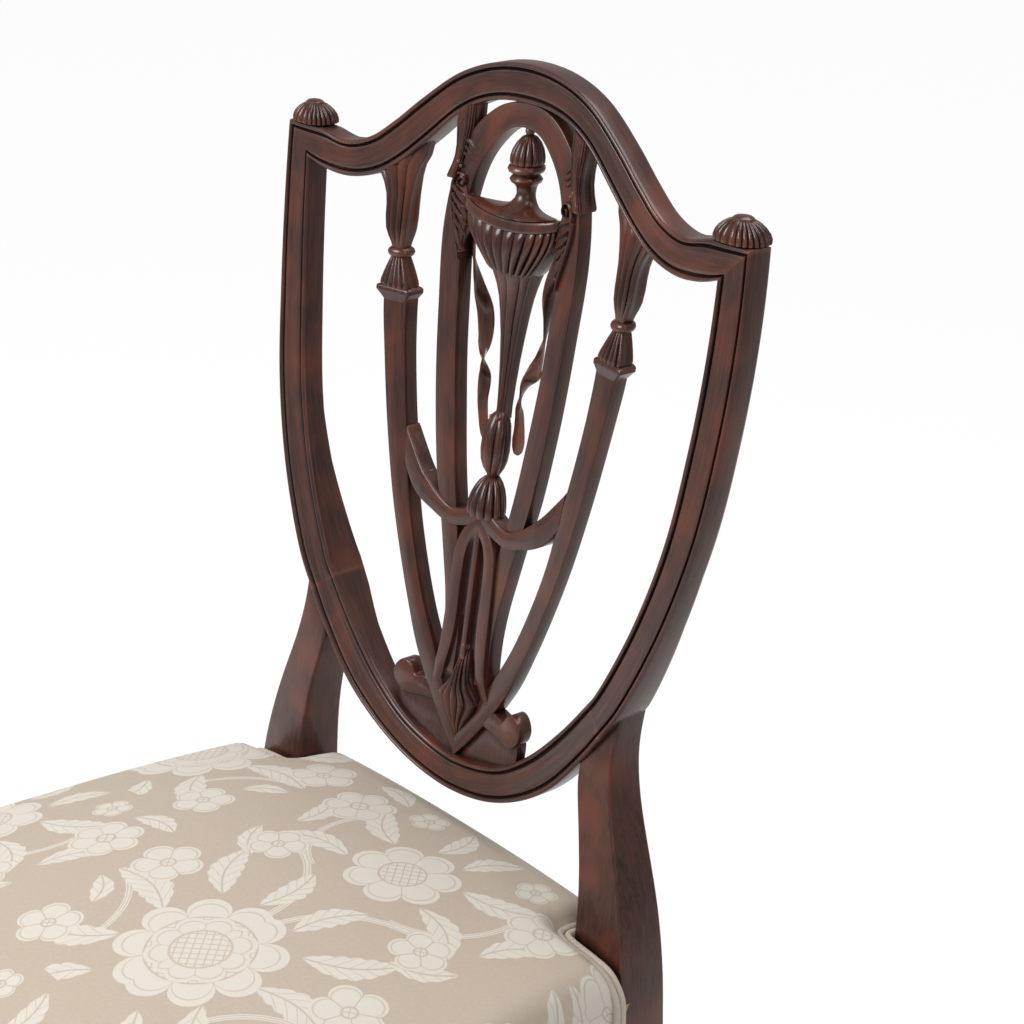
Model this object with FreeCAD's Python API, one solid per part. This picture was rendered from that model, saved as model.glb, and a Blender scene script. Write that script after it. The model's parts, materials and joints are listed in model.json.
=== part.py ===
import FreeCAD, Part
import os, math

os.makedirs("parts", exist_ok=True)
Vec = FreeCAD.Vector

# A carved shield back side chair with an upholstered seat.
# Millimetres, +Z up, the front of the chair faces -Y, the floor is z = 0, x = 0 is the centre line.
# Heights in the back are written from the level of the two ears, as h.

# Overall sizes
rail_top = 440.0
shield_clearance = 67.5
shield_half_width = 235.0
shield_height = 492.0
fit = 0.1

# The front face of the shield is hollow from side to side and curved from top to bottom
back_y = 243.7
lean = 0.082
curl = 2.0e-4
hollow_depth = 47.2
ear_return = 24.6
hollow_twist = 0.021
frame_depth = 18.5

# The splat is straight from top to bottom and set back a little at its ends
splat_set = 4.0
splat_lean = 0.162
splat_depth = 11.5

# The oval loop is flush with the shield at its top and with the splat at its foot
loop_set = -1.0
loop_lean = 0.146

# Front view outlines are drawn for a shield 470 wide and 492 high, 422.5 of it below the ears
draw_x = shield_half_width / 235.0
draw_h = shield_height / 492.0
ear_height = rail_top + shield_clearance + 422.5 * draw_h


def drawn(*points):
    return [(x * draw_x, h * draw_h) for x, h in points]


def side_drawn(*points):
    return [(h * draw_h, y) for h, y in points]


# Shield outlines, right half, from the top centre to the bottom centre
crest_top = drawn((0, 69.5), (34, 66.0), (67, 55.0), (101, 33.5), (126, 15.0), (149, 0.8),
                  (174, -5.0), (199, -0.6))
crest_low = drawn((0, 44.3), (25, 42.8), (46, 37.6), (66, 27.6), (96.5, 3.8), (118, -12.0), (140, -23.6),
                  (166, -29.6), (188, -28.6), (208.5, -23.2))
side_out = drawn((235, 0), (235.3, -58), (231.2, -119), (222.5, -182), (204.5, -243), (177, -302),
                 (144, -347), (113, -380), (78, -403), (40, -417.5), (0, -422.5))
side_in = drawn((208.5, -23.2), (206.3, -75), (201.3, -127), (191, -192), (172, -250), (146, -302),
                (113, -341), (80, -371.5), (48, -390.5), (0, -399.9))
shoulder_in, shoulder_out = drawn((139.0, -311.0), (160.0, -328.0))

# Rear posts: front view edges and side view edges below the shield
post_out = drawn((178, -296), (171.5, -335), (176, -370), (189, -403), (200, -440), (207, -480), (209, -515))
post_in = drawn((160, -515), (159, -470), (157, -430), (151, -398), (143, -367), (137, -345))
post_front = side_drawn((-290, -62), (-335, -69.5), (-367, -73.5), (-400, -77.5), (-440, -82), (-470, -85.5),
                        (-515, -88.5), (-600, -86.5), (-750, -67))
post_back = side_drawn((-750, -27), (-600, -45.5), (-515, -50), (-470, -48.5), (-430, -47.5), (-400, -48),
                       (-367, -50), (-335, -50.5), (-290, -46))
foot_in, foot_out = 174.0 * draw_x, 204.0 * draw_x
foot_front, foot_back = -17.0, 14.0

# Ears
cap_width = 36.0
cap_depth = 23.0
cap_set = 1.5
cap_height = 16.0
cap_corner = 8.0

# Banisters, right hand one
banister_in = drawn((99.9, -112), (96, -140), (89.5, -175), (82, -208), (74.7, -242), (63.5, -275),
                    (48.5, -309), (31, -338.5), (0, -386.6))
banister_out = drawn((0, -401.6), (47.5, -343), (64.5, -309), (78.5, -275), (90.3, -242), (100, -208),
                     (108, -175), (115.3, -140), (120.7, -112))
capital_in = drawn((103.4, -76.5), (109.3, -70.5), (111.4, -67), (106.4, -55), (106, -38), (103, -18), (92, 8))
capital_out = drawn((152, -20), (141, -26.5), (131.5, -40), (129.6, -55), (123, -67), (124, -70.5),
                    (121.5, -76.5))
bell_top, block_top, block_low = -76.5 * draw_h, -97.0 * draw_h, -104.5 * draw_h
bell_half, block_half = 9.0, 16.0
block_x = 112.3 * draw_x
ring_half, ring_top, ring_low = 8.4, -70.5 * draw_h, -76.5 * draw_h
ring_x = 115.2 * draw_x
block_proud = 1.2

# Pointed oval loop between the banisters
loop_out = drawn((0, 44.4), (25, 40), (45.6, 25.5), (56.5, 10.0), (64.5, -12), (69, -48), (65.6, -100),
                 (58, -165), (43.5, -238), (37.5, -280), (38, -345))
loop_in = drawn((0, 28.6), (14, 26.0), (27, 16.5), (40, 0.0), (48, -23), (50.6, -50), (47.5, -95),
                (39, -161), (27.5, -240), (24.3, -285), (26, -345))
drop_side = drawn((65.5, 50), (65.5, 24), (62.5, 9), (62.8, 0), (65.5, -8), (68.5, -13.5))
drop_in = 50.0 * draw_x
drop_proud = 3.0

# Urn, half outline down the centre line
urn_rim_half, urn_rim_top = 47.5 * draw_x, -22.0 * draw_h
urn_rim_sag, urn_rim_tall = 14.0, 8.0
urn_lid = drawn((0, 24.5), (5.5, 23), (11.5, 14), (12.4, 6), (12.4, 0.5), (8.5, -3.0), (10.2, -6.0), (6.2, -12),
                (8.5, -24), (24, -31))
urn_bowl = drawn((47.5, -30), (41, -46), (29, -60), (19.5, -68), (9, -100), (4.6, -135), (3.8, -162),
                 (9.3, -180), (6.5, -195), (0, -205))
urn_proud = 6.0

# Bell flower, swags, inner lancet, leaf and scrolls
flower = drawn((0, -205), (5.0, -208), (11.0, -218), (13.0, -227), (9.0, -233), (0, -236))
swag_top = drawn((6, -232), (24, -234), (42, -229.5), (62, -215), (84, -186))
swag_low = drawn((86, -197), (66, -223), (46, -238.5), (26, -243.5), (6, -241))
ribbon_in = drawn((41, -52), (29.5, -76), (19, -100), (15.5, -118), (9.5, -143), (13, -178))
ribbon_out = drawn((21, -182), (18, -143), (25, -117), (29, -100), (39, -76), (51.5, -46))
lancet_out = drawn((0, -243), (10.5, -250), (18.5, -276), (20.3, -318), (24.5, -352))
lancet_in = drawn((0, -251), (6.5, -257), (12.6, -280), (14.5, -318), (18, -352))
lancet_rib = 2.6
leaf = drawn((0, -322), (5, -333), (13, -345), (22, -359), (12, -372), (0, -386.6))
scroll_x, scroll_h, scroll_r = 61.5 * draw_x, -360.0 * draw_h, 8.2
scroll_body = drawn((66, -362), (69, -385), (20, -408), (20, -372), (46, -357))

# Acanthus leaves applied to the shoulders of the loop
acanthus = drawn((53, 12), (62, 9), (68, -8), (69, -30), (66, -48), (55, -62), (50.5, -44), (50.5, -22),
                 (47, -4))
acanthus_thick = 4.0

# Seat frame
rail_height, rail_thick = 68.0, 24.0
leg_out, leg_square, leg_foot = 258.0, 44.0, 26.0
leg_y_front = -504.6
rail_front_y = leg_y_front + 2.0
back_rail_front = -77.0
back_rail_thick = 24.0
block_arm, block_tall = 62.0, 42.0

# Upholstery
web_wide, web_thick, web_inset = 50.0, 1.2, 5.0
deck_thick = 1.0
cover_thick, cover_gap = 2.2, 0.4
crown_edge, crown_rise, crown_power = 463.0, 38.0, 2.3
crown_shift, crown_round = 27.5, 9.0
welt_wide, welt_thick = 7.5, 3.4
dust_thick = 1.0
post_gap = 0.5

# Dowels, screws and glides
dowel_r, dowel_long = 4.0, 36.0
screw_r, screw_long, head_r, head_long = 2.2, 34.0, 4.2, 3.0
glide_r, glide_tall = 10.0, 4.0


def hollow(x, h):
    """How far the back comes forward of its middle at a distance x from the centre line."""
    part = (x / shield_half_width) ** 2
    return -(hollow_depth - hollow_twist * h) * part + ear_return * part * part


def frame_y(x, h):
    return back_y + lean * h - curl * h * h + hollow(x, h)


def splat_y(x, h):
    return back_y + splat_set + splat_lean * h + hollow(x, h)


def loop_y(x, h):
    return back_y + loop_set + loop_lean * h + hollow(x, h)


def sheet(face_y):
    """A smooth face through points worked out from one of the two formulas above."""
    widths = [shield_half_width * k / 5.0 for k in range(-6, 7)]
    heights = [(-470.0 + 48.0 * k) * draw_h for k in range(13)]
    surface = Part.BSplineSurface()
    surface.interpolate([[Vec(x, face_y(x, h), ear_height + h) for h in heights] for x in widths])
    return surface.toShape()


def slab(face, start, thick):
    moved = face.copy()
    moved.translate(Vec(0, start, 0))
    return moved.extrude(Vec(0, thick, 0))


def at(point, y=0.0):
    return Vec(point[0], y, ear_height + point[1])


def run(points):
    """A straight edge through two points, a smooth one through more."""
    if len(points) == 2:
        return Part.makeLine(at(points[0]), at(points[1]))
    curve = Part.BSplineCurve()
    curve.interpolate([at(p) for p in points])
    return curve.toShape()


def level_run(points):
    """A smooth edge through a half outline and its mirror image, level at the centre line."""
    whole = [(-x, h) for x, h in reversed(points[1:])] + list(points)
    return run(whole)


def prism(*edges):
    """The front view outline, driven right through the back from front to rear."""
    wire = Part.Wire(Part.__sortEdges__(list(edges)))
    return Part.Face(wire).extrude(Vec(0, 400, 0))


def polygon(points):
    closed = list(points) + [points[0]]
    edges = [run([a, b]) for a, b in zip(closed, closed[1:])]
    return prism(*edges)


def closed_by_lines(*runs):
    """A prism whose outline is the runs in order, joined by straight lines."""
    edges = []
    for k, points in enumerate(runs):
        edges.append(run(points))
        following = runs[(k + 1) % len(runs)][0]
        if math.dist(points[-1], following) > 0.01:
            edges.append(run([points[-1], following]))
    return prism(*edges)


def mirrored(shape):
    return shape.mirror(Vec(0, 0, 0), Vec(1, 0, 0))


def flip(points):
    return [(-x, h) for x, h in points]


def biggest(shape):
    return max(shape.Solids, key=lambda s: s.Volume)


def save(name, *shapes):
    solids = [s for shape in shapes for s in shape.Solids]
    whole = solids[0] if len(solids) == 1 else Part.makeCompound(solids)
    whole.exportStep("parts/%s.step" % name)
    box = whole.optimalBoundingBox(True, False)
    print("%-22s %d %9.0f  x %7.1f %7.1f  y %7.1f %7.1f  z %7.1f %7.1f  %s" % (
        name, len(solids), whole.Volume, box.XMin, box.XMax, box.YMin, box.YMax,
        box.ZMin, box.ZMax, all(s.isValid() for s in solids)))


frame_face = sheet(frame_y)
splat_face = sheet(splat_y)
frame_slab = slab(frame_face, 0, frame_depth)
splat_slab = slab(splat_face, 0, splat_depth)
proud_slab = slab(splat_face, -block_proud, splat_depth + 2 * block_proud)
urn_slab = slab(splat_face, -urn_proud, splat_depth + urn_proud)
loop_face = sheet(loop_y)
loop_slab = slab(loop_face, 0, splat_depth)

# Shield frame: one band, parted at the two mitres under the ears and at the two shoulders
ear_line = [crest_top[-1], side_out[0]]
outer = prism(level_run(crest_top), run(ear_line), run(flip(ear_line)), level_run(side_out[::-1]))
inner = prism(level_run(crest_low), level_run(side_in[::-1]))
band = outer.cut(inner)
mitre = (side_out[0][0] - side_in[0][0], side_out[0][1] - side_in[0][1])
mitre_far = (side_out[0][0] + 2 * mitre[0], side_out[0][1] + 2 * mitre[1])
mitre_low = (0.0, side_in[0][1] - side_in[0][0] * mitre[1] / mitre[0])
joint = (shoulder_out[0] - shoulder_in[0], shoulder_out[1] - shoulder_in[1])
joint_near = (shoulder_in[0] - joint[0], shoulder_in[1] - joint[1])
joint_far = (shoulder_out[0] + 5 * joint[0], shoulder_out[1] + 5 * joint[1])
above = 3 * crest_top[0][1]
crest_zone = polygon([mitre_low, mitre_far, (mitre_far[0], above), (-mitre_far[0], above),
                      (-mitre_far[0], mitre_far[1])])
stile_zone = polygon([mitre_low, mitre_far, joint_far, joint_near])
crest = biggest(band.common(crest_zone).common(frame_slab))
stile = biggest(band.common(stile_zone).common(frame_slab))
lower_band = band.cut(crest_zone).cut(stile_zone).cut(mirrored(stile_zone))
bottom_rail = biggest(lower_band.common(frame_slab))


# Rear posts, each in one piece with its leg and its side of the shield
def side_prism(front, back):
    def place(points):
        return [Vec(0, back_y + y, ear_height + h) for h, y in points]
    edges = []
    for points in (place(front), place(back)):
        curve = Part.BSplineCurve()
        curve.interpolate(points)
        edges.append(curve.toShape())
    top = [edges[1].valueAt(edges[1].LastParameter), edges[0].valueAt(edges[0].FirstParameter)]
    edges.append(Part.makeLine(*top))
    toe = [edges[0].valueAt(edges[0].LastParameter), edges[1].valueAt(edges[1].FirstParameter)]
    edges.append(Part.makeLine(*toe))
    face = Part.Face(Part.Wire(Part.__sortEdges__(edges)))
    return face.extrude(Vec(300, 0, 0))


foot_h = glide_tall - ear_height
post_profile = side_prism(post_front + [(foot_h, foot_front)], [(foot_h, foot_back)] + post_back)
post_view = closed_by_lines(post_out, [(foot_out, foot_h), (foot_in, foot_h)], post_in)
post_body = biggest(post_view.common(post_profile).cut(outer))
right_post = post_body.fuse(stile)

# Ear caps, domed on a rounded rectangle
def rounded(half_x, half_y, corner, y, z):
    r = min(corner, half_x * 0.98, half_y * 0.98)
    box = Part.makePlane(2 * half_x, 2 * half_y, Vec(-half_x, y - half_y, z), Vec(0, 0, 1))
    wire = box.makeOffset2D(-r, 0).OuterWire if min(half_x, half_y) - r > 0.05 else box.OuterWire
    return Part.Face(wire).makeOffset2D(r, 0).OuterWire


cap_x = shield_half_width - cap_width / 2.0
cap_y = frame_y(cap_x, 0) + frame_depth / 2.0 + cap_set
cap_levels = [(0.0, 0.94), (0.32, 1.0), (0.66, 0.80), (0.9, 0.46), (1.0, 0.16)]
cap_wires = []
for level, share in cap_levels:
    wire = rounded(cap_width / 2 * share, cap_depth / 2 * share, cap_corner * share, cap_y,
                   ear_height + cap_height * level)
    wire.translate(Vec(cap_x, 0, 0))
    cap_wires.append(wire)
right_cap = Part.makeLoft(cap_wires, True, False)
right_cap = right_cap.cut(crest).cut(stile)

# Banisters: capital, ring, bell, block and tapering shaft in one piece, meeting in a point
shaft = closed_by_lines([(block_x - block_half * 0.8, block_low), banister_in[0]], banister_in, banister_out,
                        [banister_out[-1], (block_x + block_half * 0.8, block_low)])
capital = closed_by_lines(capital_in, capital_out)
bell = polygon([(ring_x - bell_half, bell_top), (ring_x + bell_half, bell_top),
                (block_x + block_half, block_top), (block_x - block_half, block_top)])
ring = polygon([(ring_x - ring_half, ring_top), (ring_x + ring_half, ring_top),
                (ring_x + ring_half, ring_low), (ring_x - ring_half, ring_low)])
block = polygon([(block_x - block_half, block_top), (block_x + block_half, block_top),
                 (block_x + block_half, block_low), (block_x - block_half, block_low)])
plain = shaft.common(splat_slab).fuse([capital.cut(band).common(splat_slab), bell.common(splat_slab)])
right_banister = plain.fuse([ring.common(proud_slab), block.common(proud_slab)])
right_half = Part.makeBox(400, 800, 1200, Vec(0, -400, 0))
right_banister = biggest(right_banister.common(right_half).cut(band))
banister_view = shaft.fuse([capital, bell, ring, block])
both_banisters = banister_view.fuse(mirrored(banister_view))

# Pointed oval loop and the two drops that tie it to the crest
loop_feet = [loop_out[-1], loop_in[-1]]
loop_view = prism(level_run(loop_out), run(loop_feet), run(flip(loop_feet)), level_run(loop_in))
loop = loop_view.cut(band).cut(both_banisters).common(loop_slab)
loop = biggest(loop)
drop_top, drop_low = drop_side[0][1], drop_side[-1][1]
drop = closed_by_lines([(drop_in, drop_low), (drop_in, drop_top)], drop_side)
oval = prism(level_run(loop_out), run([loop_out[-1], flip(loop_out)[-1]]))
drop_slab = slab(loop_face, -drop_proud, splat_depth + drop_proud + 1.5)
right_drop = biggest(drop.cut(oval).cut(band).common(drop_slab))

# Urn
rim_mid = urn_rim_top - urn_rim_sag
rim_line = [(-urn_rim_half, urn_rim_top), (0, rim_mid), (urn_rim_half, urn_rim_top)]
rim_under = [(x, h - urn_rim_tall) for x, h in reversed(rim_line)]
rim = prism(run(rim_line), run([rim_line[-1], rim_under[0]]), run(rim_under), run([rim_under[-1], rim_line[0]]))
lid_base = [urn_lid[-1], (24, rim_mid - 2)]
lid = prism(level_run(urn_lid), run(lid_base), run(flip(lid_base)), run([lid_base[1], flip(lid_base)[1]]))
bowl = prism(level_run(urn_bowl), run([urn_bowl[0], flip(urn_bowl)[0]]))
urn = rim.common(urn_slab).fuse([lid.common(splat_slab), bowl.common(urn_slab)])
urn = biggest(urn.cut(loop))
ball = Part.makeSphere(2.4, at((0, urn_lid[0][1] + 2.2), splat_y(0, urn_lid[0][1]) + splat_depth / 2))
urn = urn.fuse(ball).cut(loop)

# Ribbons, bell flower, swags and the lancet below it
ribbon = closed_by_lines(ribbon_in, ribbon_out).common(splat_slab)
right_ribbon = biggest(ribbon.cut(loop_view).cut(urn))
flower_view = prism(level_run(flower[:-1]), run([flower[-2], flip(flower)[-2]]))
flower_boss = biggest(flower_view.common(urn_slab).cut(urn))
swag_view = closed_by_lines(swag_top, swag_low)
swag = biggest(swag_view.cut(both_banisters).cut(loop_view).common(splat_slab).cut(flower_boss))
swag_inner = swag_view.cut(both_banisters).cut(loop_view).common(splat_slab).cut(flower_boss)
lancet_feet = [lancet_out[-1], lancet_in[-1]]
lancet_view = prism(level_run(lancet_out), run(lancet_feet), run(flip(lancet_feet)), level_run(lancet_in))
rib_top, rib_low = lancet_in[0][1] + 2, leaf[0][1] + 3
rib = polygon([(-lancet_rib, rib_top), (lancet_rib, rib_top), (lancet_rib, rib_low), (-lancet_rib, rib_low)])
leaf_view = prism(level_run(leaf[:-1]), run([leaf[-2], leaf[-1]]), run([flip(leaf)[-2], leaf[-1]]))
leaf_boss = biggest(leaf_view.cut(both_banisters).common(urn_slab))
swag_both = swag_view.fuse(mirrored(swag_view))
lancet = lancet_view.fuse(rib).cut(both_banisters).cut(swag_both).cut(leaf_view).cut(flower_view)
lancet = lancet.common(splat_slab)

# Scrolls either side of the point
lobe = Part.makeCylinder(scroll_r, 400, at((scroll_x, scroll_h)), Vec(0, 1, 0))
scroll_view = lobe.fuse(polygon(scroll_body)).cut(band).cut(both_banisters)
scroll = biggest(scroll_view.common(splat_slab).common(frame_slab).cut(loop))

# Acanthus leaves lie on the face of the loop
leaf_slab = slab(loop_face, -acanthus_thick, acanthus_thick)
acanthus_view = closed_by_lines(acanthus)
right_acanthus = biggest(acanthus_view.common(leaf_slab).cut(urn).cut(right_drop))

# Seat frame
leg_front = back_y + leg_y_front
leg_back = leg_front + leg_square
rail_low = rail_top - rail_height
post_front_y = back_y + post_front[6][1]
post_side_x = post_out[-1][0]
post_inside_x = post_in[0][0]
slant = (leg_out - post_side_x) / (post_front_y - leg_front)


def plan_wire(points, z):
    corners = [Vec(x, y, z) for x, y in points]
    return Part.makePolygon(corners + [corners[0]])


def plan_prism(points, low, tall):
    return Part.Face(plan_wire(points, low)).extrude(Vec(0, 0, tall))


def leg_plan(size):
    """Square but for the outer face, which runs along the side rail."""
    rear = leg_front + size
    inner = leg_out - size
    return [(inner, leg_front), (leg_out, leg_front), (leg_out - slant * size, rear), (inner, rear)]


foot_y = leg_front
leg_top = plan_prism(leg_plan(leg_square), rail_low, rail_height)
leg_ends = [plan_wire(leg_plan(leg_foot), glide_tall), plan_wire(leg_plan(leg_square), rail_low)]
leg_low = Part.makeLoft(leg_ends, True, True)
right_leg = leg_top.fuse(leg_low).removeSplitter()

rail_out_back = leg_out - slant * (leg_back - leg_front)
rear_reach = post_front_y + 12.0
rear_out_x = leg_out - slant * (rear_reach - leg_front)
side_plan = [(rail_out_back, leg_back), (rear_out_x, rear_reach), (rear_out_x - rail_thick, rear_reach),
             (rail_out_back - rail_thick, leg_back)]
right_rail = biggest(plan_prism(side_plan, rail_low, rail_height).cut(right_post))
front_rail = Part.makeBox(2 * (leg_out - leg_square), rail_thick, rail_height,
                          Vec(-(leg_out - leg_square), back_y + rail_front_y, rail_low))
back_rail_y = back_y + back_rail_front
back_rail = Part.makeBox(2 * post_inside_x + 20, back_rail_thick, rail_height,
                         Vec(-post_inside_x - 10, back_rail_y, rail_low))
left_post = mirrored(right_post)
back_rail = biggest(back_rail.cut(right_post).cut(left_post))

# Corner blocks, glued and screwed into the four corners of the seat frame
block_z = rail_low + (rail_height - block_tall) / 2.0
front_in_y = back_y + rail_front_y + rail_thick


def side_inner_x(y):
    return leg_out - slant * (y - leg_front) - rail_thick


def corner_block(y_edge, direction):
    far = y_edge + direction * block_arm
    corner = (side_inner_x(y_edge), y_edge)
    along_side = (side_inner_x(far), far)
    along_rail = (side_inner_x(y_edge) - block_arm, y_edge)
    return plan_prism([corner, along_side, along_rail], block_z, block_tall)


front_block = biggest(corner_block(front_in_y, 1).cut(right_leg))
rear_block = biggest(corner_block(back_rail_y, -1).cut(right_post))


def wood_screw(start, direction):
    head = Part.makeCylinder(head_r, head_long, start, direction)
    shank = Part.makeCylinder(screw_r, screw_long, start + direction * head_long, direction)
    hole = Part.makeCylinder(head_r + fit, 60, start - direction * 60, direction)
    hole = hole.fuse(Part.makeCylinder(head_r + fit, head_long, start, direction))
    neck = start + direction * head_long
    hole = hole.fuse(Part.makeCylinder(screw_r + fit, screw_long + fit, neck, direction))
    return head.fuse(shank).removeSplitter(), hole


screw_z = rail_low + rail_height / 2.0
side_dir = Vec(1, slant, 0)
side_dir.normalize()
screws, screw_holes = [], []
for y_edge, direction in ((front_in_y, 1), (back_rail_y, -1)):
    x_mid = side_inner_x(y_edge) - block_arm * 0.62
    to_rail = Vec(x_mid, y_edge + direction * 16.0, screw_z - 7)
    y_mid = y_edge + direction * block_arm * 0.62
    to_side = Vec(side_inner_x(y_mid) - 16.0, y_mid, screw_z + 7)
    for start, heading in ((to_rail, Vec(0, -direction, 0)), (to_side, side_dir)):
        solid, hole = wood_screw(start, heading)
        screws.append(solid)
        screw_holes.append(hole)
drill = screw_holes[0].fuse(screw_holes[1:])
drill_both = drill.fuse(mirrored(drill))
front_block = front_block.cut(drill)
rear_block = rear_block.cut(drill)


# Dowels
def dowel(middle, heading):
    start = middle - heading * (dowel_long / 2.0)
    peg = Part.makeCylinder(dowel_r, dowel_long, start, heading)
    hole = Part.makeCylinder(dowel_r + fit, dowel_long + 2 * fit, start - heading * fit, heading)
    return peg, hole


seat_pegs = []
for z in (rail_low + rail_height * 0.3, rail_low + rail_height * 0.7):
    front_y = back_y + rail_front_y + rail_thick / 2.0
    seat_pegs.append(dowel(Vec(leg_out - leg_square, front_y, z), Vec(1, 0, 0)))
    x_leg = leg_out - slant * leg_square - rail_thick / 2.0
    seat_pegs.append(dowel(Vec(x_leg, leg_back, z + 4.5), Vec(0, 1, 0)))
    x_post = leg_out - slant * (post_front_y - leg_front) - rail_thick / 2.0
    seat_pegs.append(dowel(Vec(x_post, post_front_y + 2, z + 4.5), Vec(0, 1, 0)))
    y_rail = back_rail_y + back_rail_thick / 2.0
    seat_pegs.append(dowel(Vec(post_inside_x + 1, y_rail, z - 4.5), Vec(1, 0, 0)))
peg_holes = seat_pegs[0][1].fuse([hole for _, hole in seat_pegs[1:]])
shield_pegs = []
mitre_mid = ((side_in[0][0] + side_out[0][0]) / 2.0, (side_in[0][1] + side_out[0][1]) / 2.0)
mitre_dir = Vec(mitre[1], 0, -mitre[0])
mitre_dir.normalize()
crest_peg_long, shoulder_peg_long = 18.0, 26.0
for share in (0.24, 0.5):
    x = side_in[0][0] + mitre[0] * share
    h = side_in[0][1] + mitre[1] * share
    middle = at((x, h), frame_y(x, h) + frame_depth / 2.0)
    start = middle - mitre_dir * (crest_peg_long / 2.0)
    peg = Part.makeCylinder(dowel_r * 0.75, crest_peg_long, start, mitre_dir)
    hole = Part.makeCylinder(dowel_r * 0.75 + fit, crest_peg_long + 2 * fit, start - mitre_dir * fit, mitre_dir)
    shield_pegs.append((peg, hole))
joint_dir = Vec(-joint[1], 0, joint[0])
joint_dir.normalize()
for share in (0.3, 0.7):
    x = shoulder_in[0] + joint[0] * share
    h = shoulder_in[1] + joint[1] * share
    middle = at((x, h), frame_y(x, h) + frame_depth / 2.0)
    start = middle - joint_dir * (shoulder_peg_long / 2.0)
    peg = Part.makeCylinder(dowel_r * 0.75, shoulder_peg_long, start, joint_dir)
    hole = Part.makeCylinder(dowel_r * 0.75 + fit, shoulder_peg_long + 2 * fit, start - joint_dir * fit, joint_dir)
    shield_pegs.append((peg, hole))
shield_holes = shield_pegs[0][1].fuse([hole for _, hole in shield_pegs[1:]])
right_post = right_post.cut(peg_holes).cut(shield_holes)
right_leg = right_leg.cut(peg_holes)
right_rail = right_rail.cut(peg_holes).cut(drill)
front_rail = front_rail.cut(peg_holes.fuse(mirrored(peg_holes))).cut(drill_both)
back_rail = back_rail.cut(peg_holes.fuse(mirrored(peg_holes))).cut(drill_both)
crest = crest.cut(shield_holes).cut(mirrored(shield_holes))
bottom_rail = bottom_rail.cut(shield_holes).cut(mirrored(shield_holes))

# Webbing and deck cloth on top of the rails
web_front = back_y + rail_front_y + web_inset
web_rear = back_rail_y + back_rail_thick - web_inset
web_long = web_rear - web_front
web_step = leg_out * 0.35
lengthwise = [Part.makeBox(web_wide, web_long, web_thick, Vec(k * web_step - web_wide / 2, web_front, rail_top))
              for k in (-1, 0, 1)]
crosswise = []
for k in range(4):
    y = web_front + web_long * (0.16 + 0.185 * k)
    half = side_inner_x(y) + rail_thick - web_inset
    crosswise.append(Part.makeBox(2 * half, web_wide, web_thick, Vec(-half, y, rail_top + web_thick)))
deck_z = rail_top + 2 * web_thick


# Seat plan: front, slanted sides, notches for the posts and a straight rear edge
def seat_plan(grow, notch):
    front = leg_front - grow
    side_front = leg_out + grow
    notch_y = post_front_y - notch
    side_rear = leg_out - slant * (notch_y - leg_front) + grow
    inside = post_inside_x - notch
    rear = back_rail_y + back_rail_thick + grow
    right = [(side_front, front), (side_rear, notch_y), (inside, notch_y), (inside, rear)]
    return right + [(-x, y) for x, y in reversed(right)]


crown_mid_y = (leg_front + back_rail_y + back_rail_thick) / 2.0 + crown_shift
crown_half_y = (back_rail_y + back_rail_thick - leg_front) / 2.0 + crown_shift + 4.0


def crown_z(x, y, grow):
    across = abs(x) / (leg_out + 6.0)
    along = abs(y - crown_mid_y) / crown_half_y
    bulge = (1 - across ** crown_power) * (1 - along ** crown_power)
    return crown_edge + crown_rise * max(-0.25, bulge) + grow


def crowned(points, low, grow):
    """The seat plan raised to the crowned top."""
    xs = [(leg_out + 30.0) * k / 8.0 for k in range(-8, 9)]
    ys = [leg_front - 20.0 + (back_rail_y + 60.0 - leg_front) * k / 14.0 for k in range(15)]
    surface = Part.BSplineSurface()
    surface.interpolate([[Vec(x, y, crown_z(x, y, grow)) for y in ys] for x in xs])
    under = surface.toShape().extrude(Vec(0, 0, -200))
    return biggest(plan_prism(points, low, 200).common(under))


def soften(solid, radius):
    """Round the edges where the crowned top meets the front, the sides and the rear."""
    edges = []
    for edge in solid.Edges:
        box = edge.optimalBoundingBox(True, False)
        long_enough = max(box.XLength, box.YLength) > 100.0
        if box.ZMin > crown_edge - 14.0 and long_enough:
            edges.append(edge)
    return solid.makeFillet(radius, edges)


foam_low = deck_z + deck_thick
deck = plan_prism(seat_plan(-4.0, post_gap + 4.0), deck_z, deck_thick)
foam = crowned(seat_plan(-fit, post_gap + cover_thick + cover_gap), foam_low, -cover_thick - cover_gap)
foam = soften(foam, crown_round - cover_thick)
cover_out = crowned(seat_plan(cover_thick + cover_gap, post_gap), rail_low, 0.0)
cover_out = soften(cover_out, crown_round)
cover_in = crowned(seat_plan(cover_gap, post_gap + cover_thick), rail_low - 1.0, -cover_thick)
cover_in = soften(cover_in, crown_round - cover_thick)
cover = cover_out.cut(cover_in)
near_post_y = post_front_y - post_gap - cover_thick - cover_gap
near_post_in = post_inside_x - post_gap - cover_thick - cover_gap
near_post_out = leg_out - slant * (near_post_y - leg_front) + cover_gap + 0.6
near_post_rear = back_rail_y + back_rail_thick + cover_gap
over_rails = plan_prism([(near_post_in, near_post_y), (near_post_out, near_post_y),
                         (near_post_out, near_post_rear), (near_post_in, near_post_rear)],
                        rail_low - 1.0, rail_height + 1.0 + cover_gap)
cover = biggest(cover.cut(over_rails).cut(mirrored(over_rails)))
welt_out = plan_prism(seat_plan(cover_thick + cover_gap + welt_thick, post_gap), rail_low, welt_wide)
welt = welt_out.cut(plan_prism(seat_plan(cover_thick + cover_gap, post_gap), rail_low - 1, welt_wide + 2))
dust = plan_prism(seat_plan(-6.0, post_gap), rail_low - dust_thick, dust_thick)
left_leg = mirrored(right_leg)
for solid in (right_leg, left_leg, right_post, left_post):
    dust = dust.cut(solid)

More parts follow.
